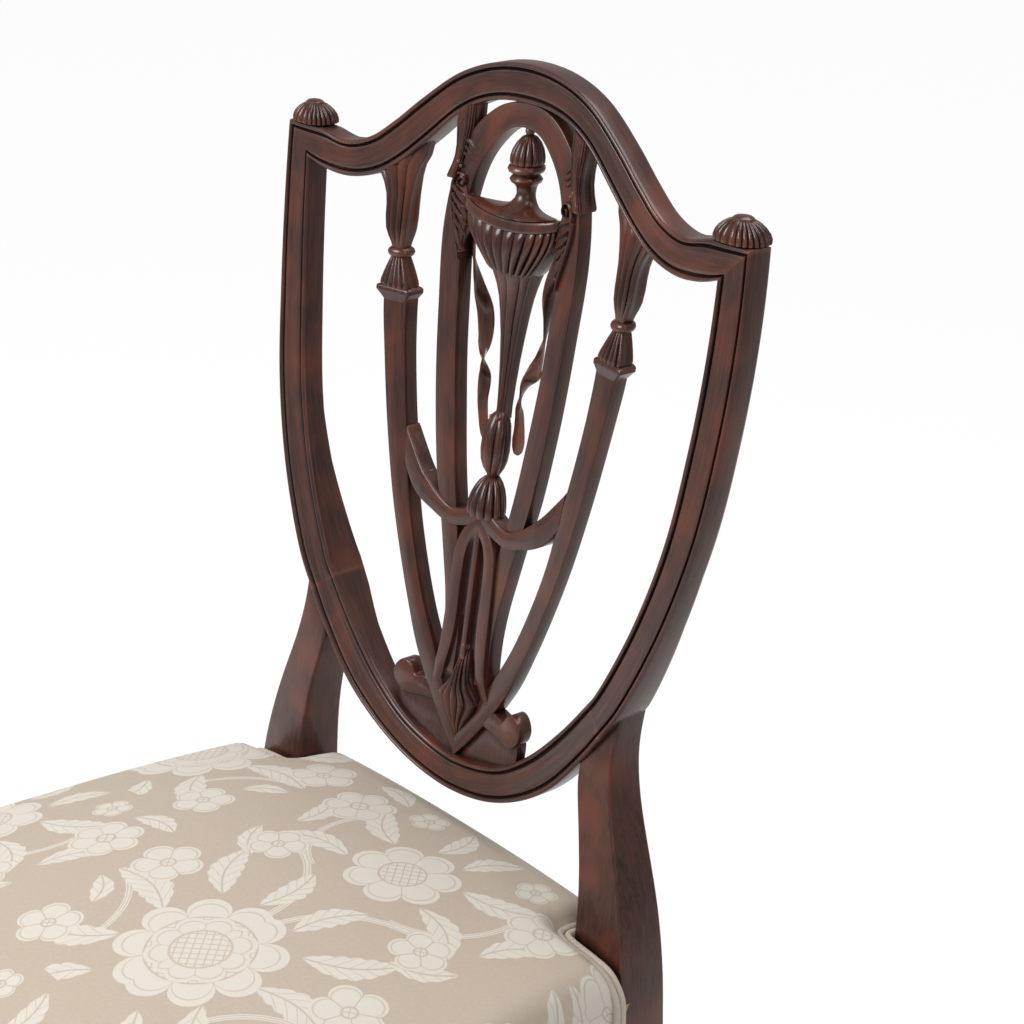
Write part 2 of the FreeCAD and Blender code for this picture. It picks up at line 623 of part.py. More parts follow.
# Glides under the four feet
glides = []
for x, y in ((leg_out - leg_foot / 2, foot_y + leg_foot / 2),
             ((foot_in + foot_out) / 2, back_y + (foot_front + foot_back) / 2)):
    for side in (-1, 1):
        glides.append(Part.makeCylinder(glide_r, glide_tall, Vec(side * x, y, 0)))

save("right_rear_post", right_post)
save("left_rear_post", mirrored(right_post))
save("crest_rail", crest)
save("shield_bottom_rail", bottom_rail)
save("right_ear_cap", right_cap)
save("left_ear_cap", mirrored(right_cap))
save("right_banister", right_banister)
save("left_banister", mirrored(right_banister))
save("centre_loop", loop)
save("right_loop_drop", right_drop)
save("left_loop_drop", mirrored(right_drop))
save("urn", urn)
save("right_ribbon", right_ribbon)
save("left_ribbon", mirrored(right_ribbon))
save("bell_flower", flower_boss)
save("right_swag", swag_inner)
save("left_swag", mirrored(swag_inner))
save("lancet", lancet)
save("leaf_boss", leaf_boss)
save("right_scroll", scroll)
save("left_scroll", mirrored(scroll))
save("right_acanthus", right_acanthus)
save("left_acanthus", mirrored(right_acanthus))
save("right_front_leg", right_leg)
save("left_front_leg", left_leg)
save("front_rail", front_rail)
save("back_rail", back_rail)
save("right_side_rail", right_rail)
save("left_side_rail", mirrored(right_rail))
save("corner_blocks", front_block, rear_block, mirrored(front_block), mirrored(rear_block))
save("corner_screws", *(screws + [mirrored(s) for s in screws]))
save("seat_dowels", *([peg for peg, _ in seat_pegs] + [mirrored(peg) for peg, _ in seat_pegs]))
save("shield_dowels", *([peg for peg, _ in shield_pegs] + [mirrored(peg) for peg, _ in shield_pegs]))
save("seat_webbing", *(lengthwise + crosswise))
save("deck_cloth", deck)
save("seat_foam", foam)
save("seat_cover", cover)
save("seat_welt", welt)
save("dust_cover", dust)
save("floor_glides", *glides)
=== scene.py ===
"""A carved shield back side chair with a damask seat, dressed over its CAD frame.

Lengths are millimetres until a piece is finished, and metres after that.
In the shield x is the distance to the right of the centre line, h the height above the ears,
and d how far a point lies behind the curved face that it is measured from.
"""

import json
import math

import bmesh
import bpy
import numpy as np
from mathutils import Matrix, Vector


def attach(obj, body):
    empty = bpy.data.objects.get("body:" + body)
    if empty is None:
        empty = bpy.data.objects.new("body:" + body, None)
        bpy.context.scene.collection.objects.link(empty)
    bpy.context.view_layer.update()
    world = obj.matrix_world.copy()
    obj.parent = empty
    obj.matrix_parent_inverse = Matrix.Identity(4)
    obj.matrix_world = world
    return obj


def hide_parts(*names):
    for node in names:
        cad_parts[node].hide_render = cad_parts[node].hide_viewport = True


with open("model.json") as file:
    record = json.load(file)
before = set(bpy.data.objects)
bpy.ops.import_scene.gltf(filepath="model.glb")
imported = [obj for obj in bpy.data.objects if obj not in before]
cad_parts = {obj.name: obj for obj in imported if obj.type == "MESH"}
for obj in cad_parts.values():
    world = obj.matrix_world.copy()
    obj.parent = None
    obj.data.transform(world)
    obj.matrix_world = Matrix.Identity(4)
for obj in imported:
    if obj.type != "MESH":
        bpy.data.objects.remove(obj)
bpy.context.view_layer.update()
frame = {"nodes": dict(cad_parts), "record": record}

EAR = 930.0  # height of the shield's shoulders
BACK = 243.7  # y of the shield's face on the centre line, at the ears
HALF = 235.0  # half the shield's width
DEEP = 18.5  # thickness of the shield's frame
MOULD = 27.5  # width of its moulding
THIN = 11.5  # thickness of the pieces inside it
POST_FOOT, POST_HEAD = -926.0, -290.0  # the rear post's ends, from the ears
METRES = 0.001
TINY = 1e-9
SIDES = (("right", False), ("left", True))

# ---------------------------------------------------------------- camera

camera = bpy.data.objects.new("camera", bpy.data.cameras.new("camera"))
bpy.context.scene.collection.objects.link(camera)
camera.data.sensor_width = 36.0
camera.data.lens = 84.375
camera.data.clip_end = 60.0
camera.location = (1.1843, -0.7241, 1.2833)
camera.rotation_euler = (math.radians(68.944), 0.0, math.radians(50.976))
bpy.context.scene.camera = camera


# ---------------------------------------------------------------- faces of the back

def hollow(x, h):
    part = (x / HALF) ** 2
    return -(47.2 - 0.021 * h) * part + 24.6 * part * part


def shield_face(x, h):
    return BACK + 0.082 * h - 2.0e-4 * h * h + hollow(x, h)


def splat_face(x, h):
    return BACK + 4.0 + 0.162 * h + hollow(x, h)


def loop_face(x, h):
    return BACK - 1.0 + 0.146 * h + hollow(x, h)


def on_face(face, x, h, d):
    return Vector((x, face(x, h) + d, EAR + h))


# ---------------------------------------------------------------- runs of points

def way_along(points):
    """How far along a run each of its points lies."""
    steps = np.sqrt((np.diff(points, axis=0) ** 2).sum(1))
    return np.concatenate([[0.0], np.cumsum(steps)])


def headings(line):
    """The direction of travel at every point of a run."""
    ahead = np.gradient(line, axis=0)
    return ahead / (np.sqrt((ahead ** 2).sum(1))[:, None] + TINY)


def resample(points, count):
    """The same run with evenly spaced points."""
    points = np.array(points, float)
    way = way_along(points)
    wanted = np.linspace(0, way[-1], count)
    return np.stack([np.interp(wanted, way, column) for column in points.T], 1)


def smooth_run(points, count):
    """Evenly spaced points on a smooth line through a few given ones."""
    given = np.array(points, float)
    chord = np.sqrt((np.diff(given, axis=0) ** 2).sum(1))
    at = np.concatenate([[0.0], np.cumsum(np.sqrt(chord))])
    slope = np.gradient(given, at, axis=0, edge_order=2 if len(given) > 2 else 1)
    t = np.linspace(0, at[-1], 40 * len(given))
    k = np.clip(np.searchsorted(at, t, side="right") - 1, 0, len(at) - 2)
    step = (at[k + 1] - at[k])[:, None]
    s = (t[:, None] - at[k][:, None]) / step
    fine = ((2 * s ** 3 - 3 * s ** 2 + 1) * given[k] + (s ** 3 - 2 * s ** 2 + s) * step * slope[k]
            + (3 * s ** 2 - 2 * s ** 3) * given[k + 1] + (s ** 3 - s ** 2) * step * slope[k + 1])
    return resample(fine, count)


def even_run(points, count):
    """A few given points are joined by a smooth line; a long run is smooth already."""
    few = 40
    return smooth_run(points, count) if len(points) < few else resample(points, count)


def both_sides(points):
    """A half outline and its mirror image, from the left end over the middle to the right end."""
    from_middle = abs(points[0][0]) < 0.01
    half = list(points) if from_middle else list(points)[::-1]
    return [(-p[0],) + tuple(p[1:]) for p in half[:0:-1]] + [tuple(p) for p in half]


# ---------------------------------------------------------------- mesh makers

def to_metres(bm):
    """Brings a finished mesh to metres, with its faces outwards and smooth."""
    bmesh.ops.scale(bm, vec=(METRES, METRES, METRES), verts=bm.verts)
    bmesh.ops.recalc_face_normals(bm, faces=bm.faces)
    for face in bm.faces:
        face.smooth = True


def place_piece(name, bm, material):
    """Makes the object of a finished mesh."""
    mesh = bpy.data.meshes.new(name)
    bm.to_mesh(mesh)
    bm.free()
    mesh.materials.append(material)
    piece = bpy.data.objects.new(name, mesh)
    bpy.context.scene.collection.objects.link(piece)
    return piece


def fresh_parts(out):
    """The new points and edges that an extrusion gives."""
    verts = [g for g in out["geom"] if isinstance(g, bmesh.types.BMVert)]
    made = set(verts)
    edges = [g for g in out["geom"] if isinstance(g, bmesh.types.BMEdge)
             and g.verts[0] in made and g.verts[1] in made]
    return verts, edges


class Maker:
    """A mesh in the making, in millimetres, with a grain direction kept on every point."""

    def __init__(self):
        self.mesh = bmesh.new()
        self.place = self.mesh.verts.layers.int.new("place")
        self.grain = self.mesh.verts.layers.float_vector.new("grain")

    def ring(self, points, grains):
        made = []
        for k, (point, grain) in enumerate(zip(points, grains)):
            vert = self.mesh.verts.new(point)
            vert[self.place] = k
            vert[self.grain] = grain
            made.append(vert)
        return [self.mesh.edges.new(pair) for pair in zip(made, made[1:] + made[:1])]

    def draw_out(self, edges, points, grains):
        """The ring is extruded, and its new copy moved to the next station."""
        verts, edges = fresh_parts(bmesh.ops.extrude_edge_only(self.mesh, edges=edges))
        for vert in verts:
            vert.co = points[vert[self.place]]
            vert[self.grain] = grains[vert[self.place]]
        return edges

    def sweep(self, stations):
        """Joins rings of points, each given with its grain, and closes both ends."""
        first = edges = self.ring(*stations[0])
        for points, grains in stations[1:]:
            edges = self.draw_out(edges, points, grains)
        bmesh.ops.contextual_create(self.mesh, geom=first)
        bmesh.ops.contextual_create(self.mesh, geom=edges)

    def finish(self, name, material, node, sharp=38.0, flip=False):
        """Makes the object, mirrored to the left side if flip is set."""
        bm = self.mesh
        bmesh.ops.remove_doubles(bm, verts=bm.verts, dist=0.0005)
        if flip:
            bmesh.ops.scale(bm, vec=(-1, 1, 1), verts=bm.verts)
        to_metres(bm)
        piece = place_piece(name, bm, material)
        piece.data.set_sharp_from_angle(angle=math.radians(sharp))
        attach(piece, "root")
        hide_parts(node)
        return piece


def band(maker, inner, outer, section, face, count, deeper=None):
    """A flat or moulded strip between two outlines, following a curved face.

    section gives (share from inner to outer, depth behind the face) round the strip, and deeper
    how much further back the strip's rear lies at a height.
    """
    rear_part = 10.0
    one, two = even_run(inner, count), even_run(outer, count)
    way = way_along((one + two) / 2.0)
    stations = []
    for start, end, far in zip(one, two, way):
        width = float(np.sqrt(((end - start) ** 2).sum()))
        points, grain = [], []
        for share, depth in section:
            x, h = start + (end - start) * share
            more = deeper(h) if deeper and depth > rear_part else 0.0
            points.append(on_face(face, x, h, depth + more))
            grain.append((share * width, depth, far))
        stations.append((points, grain))
    maker.sweep(stations)


def moulded():
    """The shield's section: a bead and a deep groove along both edges of a slightly hollow face."""
    edge = [(0.0, 2.6), (0.2, 1.5), (0.8, 0.55), (1.6, 0.05), (2.3, 0.0), (3.0, 0.25), (3.5, 0.9), (3.75, 1.9),
            (3.95, 3.2), (4.6, 3.7), (5.1, 3.3), (5.4, 2.0), (5.8, 1.1), (6.6, 0.75), (9.0, 0.9)]
    front = edge + [(MOULD / 2, 1.25)] + [(MOULD - u, d) for u, d in edge[::-1]]
    back = [(MOULD, DEEP - 3.6), (MOULD - 0.9, DEEP - 1.4), (MOULD - 3.4, DEEP), (3.4, DEEP),
            (0.9, DEEP - 1.4), (0.0, DEEP - 3.6)]
    return [(u / MOULD, d) for u, d in front + back]


def flat_section(width, deep, front=0.6):
    """A plain strip with its edges just eased and its face slightly crowned."""
    rear, crown = 0.8, 0.15
    points = [(0.0, front), (front * 0.35, front * 0.3), (front * 1.1, 0.0), (width / 2, -crown),
              (width - front * 1.1, 0.0), (width - front * 0.35, front * 0.3), (width, front),
              (width, deep - rear), (width - rear * 0.4, deep - rear * 0.3), (width - rear * 1.2, deep),
              (rear * 1.2, deep), (rear * 0.4, deep - rear * 0.3), (0.0, deep - rear)]
    return [(u / width, d) for u, d in points]


def carved_stack(maker, face, rows, lobes=0, around=48, power=2.0, even=False, rear=None, board=False,
                 ceiling=None):
    """A carved or turned form built from rings, one above another.

    Each row is (h, centre x, half width, half depth, depth of its centre, depth of the grooves,
    rise of its ends, drop of each lobe); the last three may be left out. even spaces the lobes over
    the width, board makes the rear half flat, and ceiling cuts the form off under a line.
    """
    stations = []
    for row in rows:
        h, cx, half_w, half_d, mid, cut, rise, drop = (tuple(row) + (0.0, 0.0, 0.0))[:8]
        points, grain = [], []
        for k in range(around):
            turn = 2 * math.pi * k / around
            c, s = math.cos(turn), math.sin(turn)
            square = 9.0 if board and s < 0 else power
            ex = math.copysign(abs(c) ** (2.0 / square), c)
            ey = math.copysign(abs(s) ** (2.0 / square), s)
            wave = 1.0
            if lobes and not (board and s < -0.02):
                wave = abs(math.sin(math.pi * lobes / 2.0 * (ex + 1.0) if even else lobes / 2.0 * turn)) ** 0.6
            grow = -cut * (1.0 - wave)
            x = cx + ex * half_w + c * grow
            d = mid - ey * half_d - s * grow
            if board and s < 0:
                d = mid - ey * (rear - mid)
            level = h + rise * ex * ex - drop * wave
            if ceiling:
                level = min(level, ceiling(x))
            points.append(on_face(face, x, level, d if rear is None else min(d, rear)))
            grain.append((x - cx, d, h))
        stations.append((points, grain))
    maker.sweep(stations)


def centred(maker, rows, **more):
    """The same on the centre line, in rows without a centre x."""
    carved_stack(maker, splat_face, [(row[0], 0.0) + tuple(row[1:]) for row in rows], **more)


def bead(maker, face, x, h, d, r):
    """A small round bead."""
    made = bmesh.ops.create_icosphere(maker.mesh, subdivisions=2, radius=r)["verts"]
    for vert in made:
        vert[maker.grain] = vert.co.copy()
    bmesh.ops.translate(maker.mesh, verts=made, vec=on_face(face, x, h, d))


def plate(maker, face, outline, front, rear, ease, count):
    """A sawn plate with eased edges, its outline given as (x, h) points."""
    line = smooth_run(list(outline) + [outline[0]], count + 1)[:-1]
    ahead = np.roll(line, -1, 0) - np.roll(line, 1, 0)
    ahead /= np.sqrt((ahead ** 2).sum(1))[:, None] + TINY
    area = (line[:, 0] * np.roll(line[:, 1], -1) - np.roll(line[:, 0], -1) * line[:, 1]).sum()
    inward = np.stack([-ahead[:, 1], ahead[:, 0]], 1) * (1.0 if area > 0 else -1.0)
    stations = []
    for inset, depth in [(ease, front), (ease * 0.3, front + ease * 0.3), (0.0, front + ease),
                         (0.0, rear - ease), (ease * 0.3, rear - ease * 0.3), (ease, rear)]:
        here = line + inward * inset
        stations.append(([on_face(face, x, h, depth) for x, h in here], [(x, depth, h) for x, h in here]))
    maker.sweep(stations)


def ridge(maker, face, path, widths, heights, base, count):
    """A tapering carved ridge that lies on a face and follows a path.

    path is (x, h) points, widths its full widths and heights how far it stands out, both from end to end.
    """
    line = smooth_run(path, count)
    share = np.linspace(0, 1, count)
    wide = np.interp(share, np.linspace(0, 1, len(widths)), widths)
    high = np.interp(share, np.linspace(0, 1, len(heights)), heights)
    profile = [(-1.0, 0.9), (-0.92, 0.28), (-0.62, -0.38), (-0.3, -0.8), (0.0, -1.0), (0.34, -0.78),
               (0.64, -0.35), (0.92, 0.28), (1.0, 0.9)]
    stations = []
    for k, (spot, ahead) in enumerate(zip(line, headings(line))):
        side = np.array([ahead[1], -ahead[0]])
        points, grain = [], []
        for across, out in profile:
            x, h = spot + side * across * wide[k] / 2.0
            d = base + out * high[k]
            points.append(on_face(face, x, h, d))
            grain.append((across * wide[k], d, k * 2.0))
        stations.append((points, grain))
    maker.sweep(stations)


# ---------------------------------------------------------------- materials

class Signal:
    """A shader value that adds and multiplies like a number."""

    def __init__(self, wires, socket):
        self.wires, self.socket = wires, socket

    def __add__(self, other):
        return self.wires.math("ADD", self, other)

    def __mul__(self, other):
        return self.wires.math("MULTIPLY", self, other)

    def __sub__(self, other):
        return self.wires.math("SUBTRACT", self, other)

    def __rsub__(self, other):
        return self.wires.math("SUBTRACT", other, self)

    def __truediv__(self, other):
        return self.wires.math("DIVIDE", self, other)

    def __abs__(self):
        return self.wires.math("ABSOLUTE", self)

    __radd__, __rmul__ = __add__, __mul__


class Wires:
    """Short hands for placing and joining shader nodes."""

    def __init__(self, tree):
        self.tree = tree

    def put(self, kind, feeds=(), **values):
        """Adds a node with its settings, and feeds its inputs."""
        node = self.tree.nodes.new(kind)
        for key, value in values.items():
            setattr(node, key, value)
        for key, value in dict(feeds).items():
            self.feed(node.inputs[key], value)
        return node

    def feed(self, socket, value):
        value = getattr(value, "socket", value)
        if isinstance(value, bpy.types.NodeSocket):
            self.tree.links.new(value, socket)
        else:
            socket.default_value = value

    def read(self, node, label):
        return Signal(self, node.outputs[label])

    def place(self, group, feeds):
        """A node group with its inputs fed."""
        return self.put("ShaderNodeGroup", feeds, node_tree=group)

    def math(self, kind, a, b=0.0, clamp=False):
        return self.read(self.put("ShaderNodeMath", {0: a, 1: b}, operation=kind, use_clamp=clamp), 0)

    def ramp(self, value, low, high, soft=True):
        node = self.put("ShaderNodeMapRange", {"Value": value, "From Min": low, "From Max": high},
                        interpolation_type="SMOOTHSTEP" if soft else "LINEAR", clamp=True)
        return self.read(node, "Result")

    def mix(self, share, a, b):
        feeds = {"Factor": share, "A": a, "B": b}
        return self.read(self.put("ShaderNodeMix", feeds, data_type="RGBA", blend_type="MIX"), "Result")

    def noise(self, vector, scale, detail=3.0, rough=0.55, warp=0.0):
        feeds = {"Vector": vector, "Scale": scale, "Detail": detail, "Roughness": rough, "Distortion": warp}
        return self.read(self.put("ShaderNodeTexNoise", feeds), "Fac")

    def scaled(self, vector, x, y, z):
        return self.read(self.put("ShaderNodeMapping", {"Vector": vector, "Scale": (x, y, z)}), "Vector")

    def bump(self, height, strength, distance):
        feeds = {"Height": height, "Strength": strength, "Distance": distance}
        return self.read(self.put("ShaderNodeBump", feeds), "Normal")

    def parts(self, vector):
        node = self.put("ShaderNodeSeparateXYZ", {0: vector})
        return self.read(node, "X"), self.read(node, "Y")


def new_group(name, inputs, outputs):
    """A node group with named inputs, their kind told by their first value, and named outputs.

    Gives its wires, its inputs by name, and a function that feeds its outputs.
    """
    group = bpy.data.node_groups.new(name, "ShaderNodeTree")
    kinds = {type(None): "Vector", float: "Float", tuple: "Color"}
    for label, value in inputs.items():
        kind = "NodeSocket" + kinds[type(value)]
        socket = group.interface.new_socket(label, in_out="INPUT", socket_type=kind)
        if value is not None:
            socket.default_value = value
    for label, kind in outputs.items():
        group.interface.new_socket(label, in_out="OUTPUT", socket_type="NodeSocket" + kind)
    w = Wires(group)
    source = group.nodes.new("NodeGroupInput")
    sink = group.nodes.new("NodeGroupOutput")

    def give(**values):
        for label, value in values.items():
            w.feed(sink.inputs[label], value)
        return group

    return w, {label: w.read(source, label) for label in inputs}, give


def make_grain_group():
    """Long streaks, fine pores and slow colour drift, along the third axis of the given vector."""
    w, given, give = new_group("timber_grain", {"Vector": None},
                               {"Streaks": "Float", "Pores": "Float", "Drift": "Float"})
    vector = given["Vector"]
    broad = w.noise(w.scaled(vector, 1.0, 1.0, 0.06), 0.32, 4.0, 0.6, 0.8)
    fine = w.noise(w.scaled(vector, 1.0, 1.0, 0.035), 1.5, 3.0, 0.65, 0.3)
    pores = w.noise(w.scaled(vector, 1.0, 1.0, 0.08), 4.2, 2.0, 0.7)
    return give(Streaks=broad * 0.6 + fine * 0.4, Pores=w.ramp(pores, 0.60, 0.72),
                Drift=w.noise(vector, 0.022, 2.0, 0.5))


def make_glaze_shade_group():
    """Darker in hollows, partly from real glaze and partly from painted shade; painted shade where parts lie
    against their neighbours; and edges lighter, partly from rubbed wear and partly from a painted highlight.
    """
    # a near-black for glaze and painted shade, and a light red for wear and a painted highlight
    glaze_and_shade_colour, wear_and_highlight_colour = (0.0055, 0.0028, 0.0022, 1.0), (0.19, 0.066, 0.036, 1.0)
    w, given, give = new_group("glaze_with_painted_shade_and_highlight", {"Color": (0.05, 0.02, 0.01, 1.0), "Amount": 1.0},
                               {"Color": "Color", "Grime": "Float"})
    pointy = w.read(w.put("ShaderNodeNewGeometry"), "Pointiness")
    # real glaze and painted shade: hollows found from the mesh's pointiness are darkened
    hollow_glaze_and_shade = 1.0 - w.ramp(pointy, 0.40, 0.495)
    # painted shade: ambient occlusion darkens the wood where it lies close against other parts
    occlusion_shade = w.put("ShaderNodeAmbientOcclusion", {"Distance": 0.007}, samples=6, only_local=False)
    painted_contact_shade = 1.0 - w.ramp(w.read(occlusion_shade, "AO"), 0.30, 0.85)
    glaze_and_painted_shade = w.math("MAXIMUM", hollow_glaze_and_shade, painted_contact_shade)
    share = w.math("MULTIPLY", glaze_and_painted_shade * 0.88, given["Amount"], clamp=True)
    colour = w.mix(share, given["Color"], glaze_and_shade_colour)
    # painted highlight and wear: sharp edges are mixed towards a lighter red
    return give(Color=w.mix(w.ramp(pointy, 0.53, 0.60) * 0.45, colour, wear_and_highlight_colour), Grime=glaze_and_painted_shade)


def make_weave_group():
    """Fine diagonal threads of a satin cloth: their lightness and the bump they make."""
    w, given, give = new_group("satin_threads", {"Vector": None}, {"Threads": "Float", "Normal": "Vector"})
    feeds = {"Vector": given["Vector"], "Scale": 0.9, "Distortion": 0.6, "Detail": 2.0}
    warp = w.put("ShaderNodeTexWave", feeds, wave_type="BANDS", bands_direction="DIAGONAL")
    threads = w.read(warp, "Fac")
    return give(Threads=threads, Normal=w.bump(threads, 0.5, 0.00014))


GRAIN, GLAZE_AND_SHADE, WEAVE = make_grain_group(), make_glaze_shade_group(), make_weave_group()


def new_material(name):
    """A material, its wires and its main shader."""
    material = bpy.data.materials.new(name)
    material.use_nodes = True
    return material, Wires(material.node_tree), material.node_tree.nodes["Principled BSDF"]


def mahogany(name, source="grain", light=1.0, gloss=0.30, glaze_and_shade_amount=1.0):
    """Red-brown polished mahogany. It is darker in hollows and against neighbouring parts, from glaze and
    painted shade, and lighter on edges, from wear and a painted highlight.
    """
    material, w, shader = new_material(name)
    if source == "grain":
        vector = w.read(w.put("ShaderNodeAttribute", attribute_name="grain"), "Vector")
    else:
        millimetres = 1.0 / METRES
        vector = w.scaled(w.read(w.put("ShaderNodeTexCoord"), "Object"), millimetres, millimetres, millimetres)
    grain = w.place(GRAIN, {"Vector": vector})
    streaks, pores, drift = (w.read(grain, label) for label in ("Streaks", "Pores", "Drift"))
    dark, warm, bright = [tuple(c * light for c in colour) + (1.0,) for colour in (
        (0.019, 0.0068, 0.0050), (0.070, 0.0195, 0.0115), (0.128, 0.0310, 0.0150))]
    colour = w.mix(w.ramp(streaks, 0.34, 0.66), dark, warm)
    colour = w.mix(w.ramp(drift, 0.40, 0.72) * 0.7, colour, bright)
    colour = w.mix(pores * 0.45, colour, (0.010, 0.004, 0.003, 1.0))
    # glaze and painted shade darken the hollows and the contacts; a painted highlight lightens the edges
    glaze_shade_node = w.place(GLAZE_AND_SHADE, {"Color": colour, "Amount": glaze_and_shade_amount})
    w.feed(shader.inputs["Base Color"], w.read(glaze_shade_node, "Color"))
    w.feed(shader.inputs["Roughness"], gloss + streaks * 0.10 + w.read(glaze_shade_node, "Grime") * 0.10)
    shader.inputs["Specular IOR Level"].default_value = 0.35
    shader.inputs["Coat Weight"].default_value = 0.30
    shader.inputs["Coat Roughness"].default_value = 0.07
    w.feed(shader.inputs["Normal"], w.bump(streaks * 0.6 - pores * 0.5, 0.10, 0.0004))
    return material


FLAT_WOOD = mahogany("mahogany_flat")
# the carved pieces take a little more glaze and painted shade in their hollows
CARVED_WOOD = mahogany("mahogany_carved", light=0.95, gloss=0.24, glaze_and_shade_amount=1.1)
LEG_WOOD = mahogany("mahogany_leg", source="object")


def plain(name, colour, rough):
    """A quiet finish for the pieces under the seat, with a slight mottle and a fine bump."""
    material, w, shader = new_material(name)
    vector = w.read(w.put("ShaderNodeTexCoord"), "Object")
    darker = tuple(c * 0.7 for c in colour[:3]) + (1.0,)
    w.feed(shader.inputs["Base Color"], w.mix(w.noise(vector, 60.0, 4.0, 0.6), darker, colour))
    shader.inputs["Roughness"].default_value = rough
    w.feed(shader.inputs["Normal"], w.bump(w.noise(vector, 900.0, 2.0, 0.5), 0.25, 0.0005))
    return material


# ---------------------------------------------------------------- the shield

crest_top = [(0, 69.5), (34, 66.0), (67, 55.0), (101, 33.5), (126, 15.0), (149, 0.8), (174, -5.0),
             (199, -0.6), (217, 0.0), (235, 0)]
crest_low = [(0, 44.3), (25, 42.8), (46, 37.6), (66, 27.6), (96.5, 3.8), (118, -12.0), (140, -23.6),
             (166, -29.6), (188, -28.6), (208.5, -23.2)]
side_out = [(235, 0), (235.3, -58), (231.2, -119), (222.5, -182), (204.5, -243), (177, -302), (160.0, -326)]
side_in = [(208.5, -23.2), (206.3, -75), (201.3, -127), (191, -192), (172, -250), (146, -302), (139.0, -311.0)]
low_out = [(160.0, -326), (144, -347), (113, -380), (78, -403), (40, -417.5), (0, -422.5)]
low_in = [(139.0, -311.0), (113, -341), (80, -371.5), (48, -390.5), (0, -399.9)]

whole_out = smooth_run(side_out + low_out[1:], 400)
whole_in = smooth_run(side_in + low_in[1:], 400)
cut_out = int(np.abs(whole_out - np.array(low_out[0])).sum(1).argmin())
cut_in = int(np.abs(whole_in - np.array(low_in[0])).sum(1).argmin())
side_out, low_out = whole_out[:cut_out + 1].tolist(), whole_out[cut_out:].tolist()
side_in, low_in = whole_in[:cut_in + 1].tolist(), whole_in[cut_in:].tolist()
low_out[-1][0] = low_in[-1][0] = 0.0


def stile_growth(h):
    """The stiles grow deeper towards the posts, and the lower bow thins again."""
    return float(np.interp(h, [-380, -345, -322, -305, -270, -240, -205], [0, 3.5, 9, 11, 6.5, 2.5, 0]))


crest_edge = both_sides(crest_low)


def under_crest(x):
    """Just inside the crest's lower edge, where the pieces below it end."""
    return float(np.interp(x, [p[0] for p in crest_edge], [p[1] for p in crest_edge])) + 2.0


crest = Maker()
band(crest, both_sides(crest_low), both_sides(crest_top), moulded(), shield_face, 190)
crest.finish("crest_rail_carved", FLAT_WOOD, "crest_rail")

base = Maker()
band(base, both_sides(low_in), both_sides(low_out), moulded(), shield_face, 150, stile_growth)
base.finish("shield_base_carved", FLAT_WOOD, "shield_bottom_rail")


# ---------------------------------------------------------------- rear posts, each with its side of the shield

def post_station(h):
    """The post's edges at a height: inner and outer x, front and rear y."""
    x_in = np.interp(h, [-926, -700, -515, -470, -430, -398, -367, -351, -335, -315, -290],
                     [174, 167.5, 158.5, 158, 156.5, 151, 143, 138, 145, 155, 158])
    x_out = np.interp(h, [-926, -700, -515, -480, -440, -403, -370, -340, -322, -305, -290],
                      [204, 206.5, 209, 207, 200, 188.5, 176, 169.5, 170, 173, 176])
    front = np.interp(h, [-926, -750, -600, -515, -470, -440, -400, -367, -335, -310, -290],
                      [-17, -67, -86.5, -88.5, -85.5, -81.5, -76.5, -71, -65, -58.5, -54])
    rear = np.interp(h, [-926, -750, -600, -515, -470, -430, -400, -367, -335, -310, -290],
                     [14, -27, -45.5, -50, -48.5, -47, -46, -43.5, -40.5, -37.5, -36])
    return x_in, x_out, front, rear


def soft_station(h):
    """The same, averaged over a short height so that no straight run shows."""
    spread = np.linspace(-26, 26, 9)
    weight = np.hanning(11)[1:-1]
    rows = np.array([post_station(min(POST_HEAD, max(POST_FOOT, h + s))) for s in spread])
    return (rows * weight[:, None]).sum(0) / weight.sum()


def rear_post(name, node, flip):
    """The leg and the lower stile in one run, with the side of the shield on top."""
    post = Maker()
    r = 2.2
    corner = [(0.0, r), (0.12 * r, 0.5 * r), (0.5 * r, 0.12 * r), (r, 0.0)]
    stations = []
    for h in np.linspace(POST_FOOT, -300, 110):
        x0, x1, y0, y1 = soft_station(h) if h > POST_FOOT + 6 else post_station(h)
        outline = [(x0 + a, y0 + b) for a, b in corner] + [(x1 - a, y0 + b) for a, b in corner[::-1]]
        outline += [(x1 - a, y1 - b) for a, b in corner] + [(x0 + a, y1 - b) for a, b in corner[::-1]]
        stations.append(([Vector((x, BACK + y, EAR + h)) for x, y in outline], [(x, y, h) for x, y in outline]))
    post.sweep(stations)
    band(post, side_in, side_out, moulded(), shield_face, 120, stile_growth)
    post.finish(name, FLAT_WOOD, node, flip=flip)


for side, flip in SIDES:
    rear_post(side + "_post_carved", side + "_rear_post", flip)

# ---------------------------------------------------------------- banisters

shaft_in = [(99.9, -104), (99.0, -116), (96, -140), (89.5, -175), (82, -208), (74.7, -242), (63.5, -275),
            (48.5, -309), (31, -338.5), (0, -386.6)]
shaft_out = [(121.5, -104), (120.0, -116), (115.3, -140), (108, -175), (100, -208), (90.3, -242), (78.5, -275),
             (64.5, -309), (47.5, -343), (0, -401.6)]


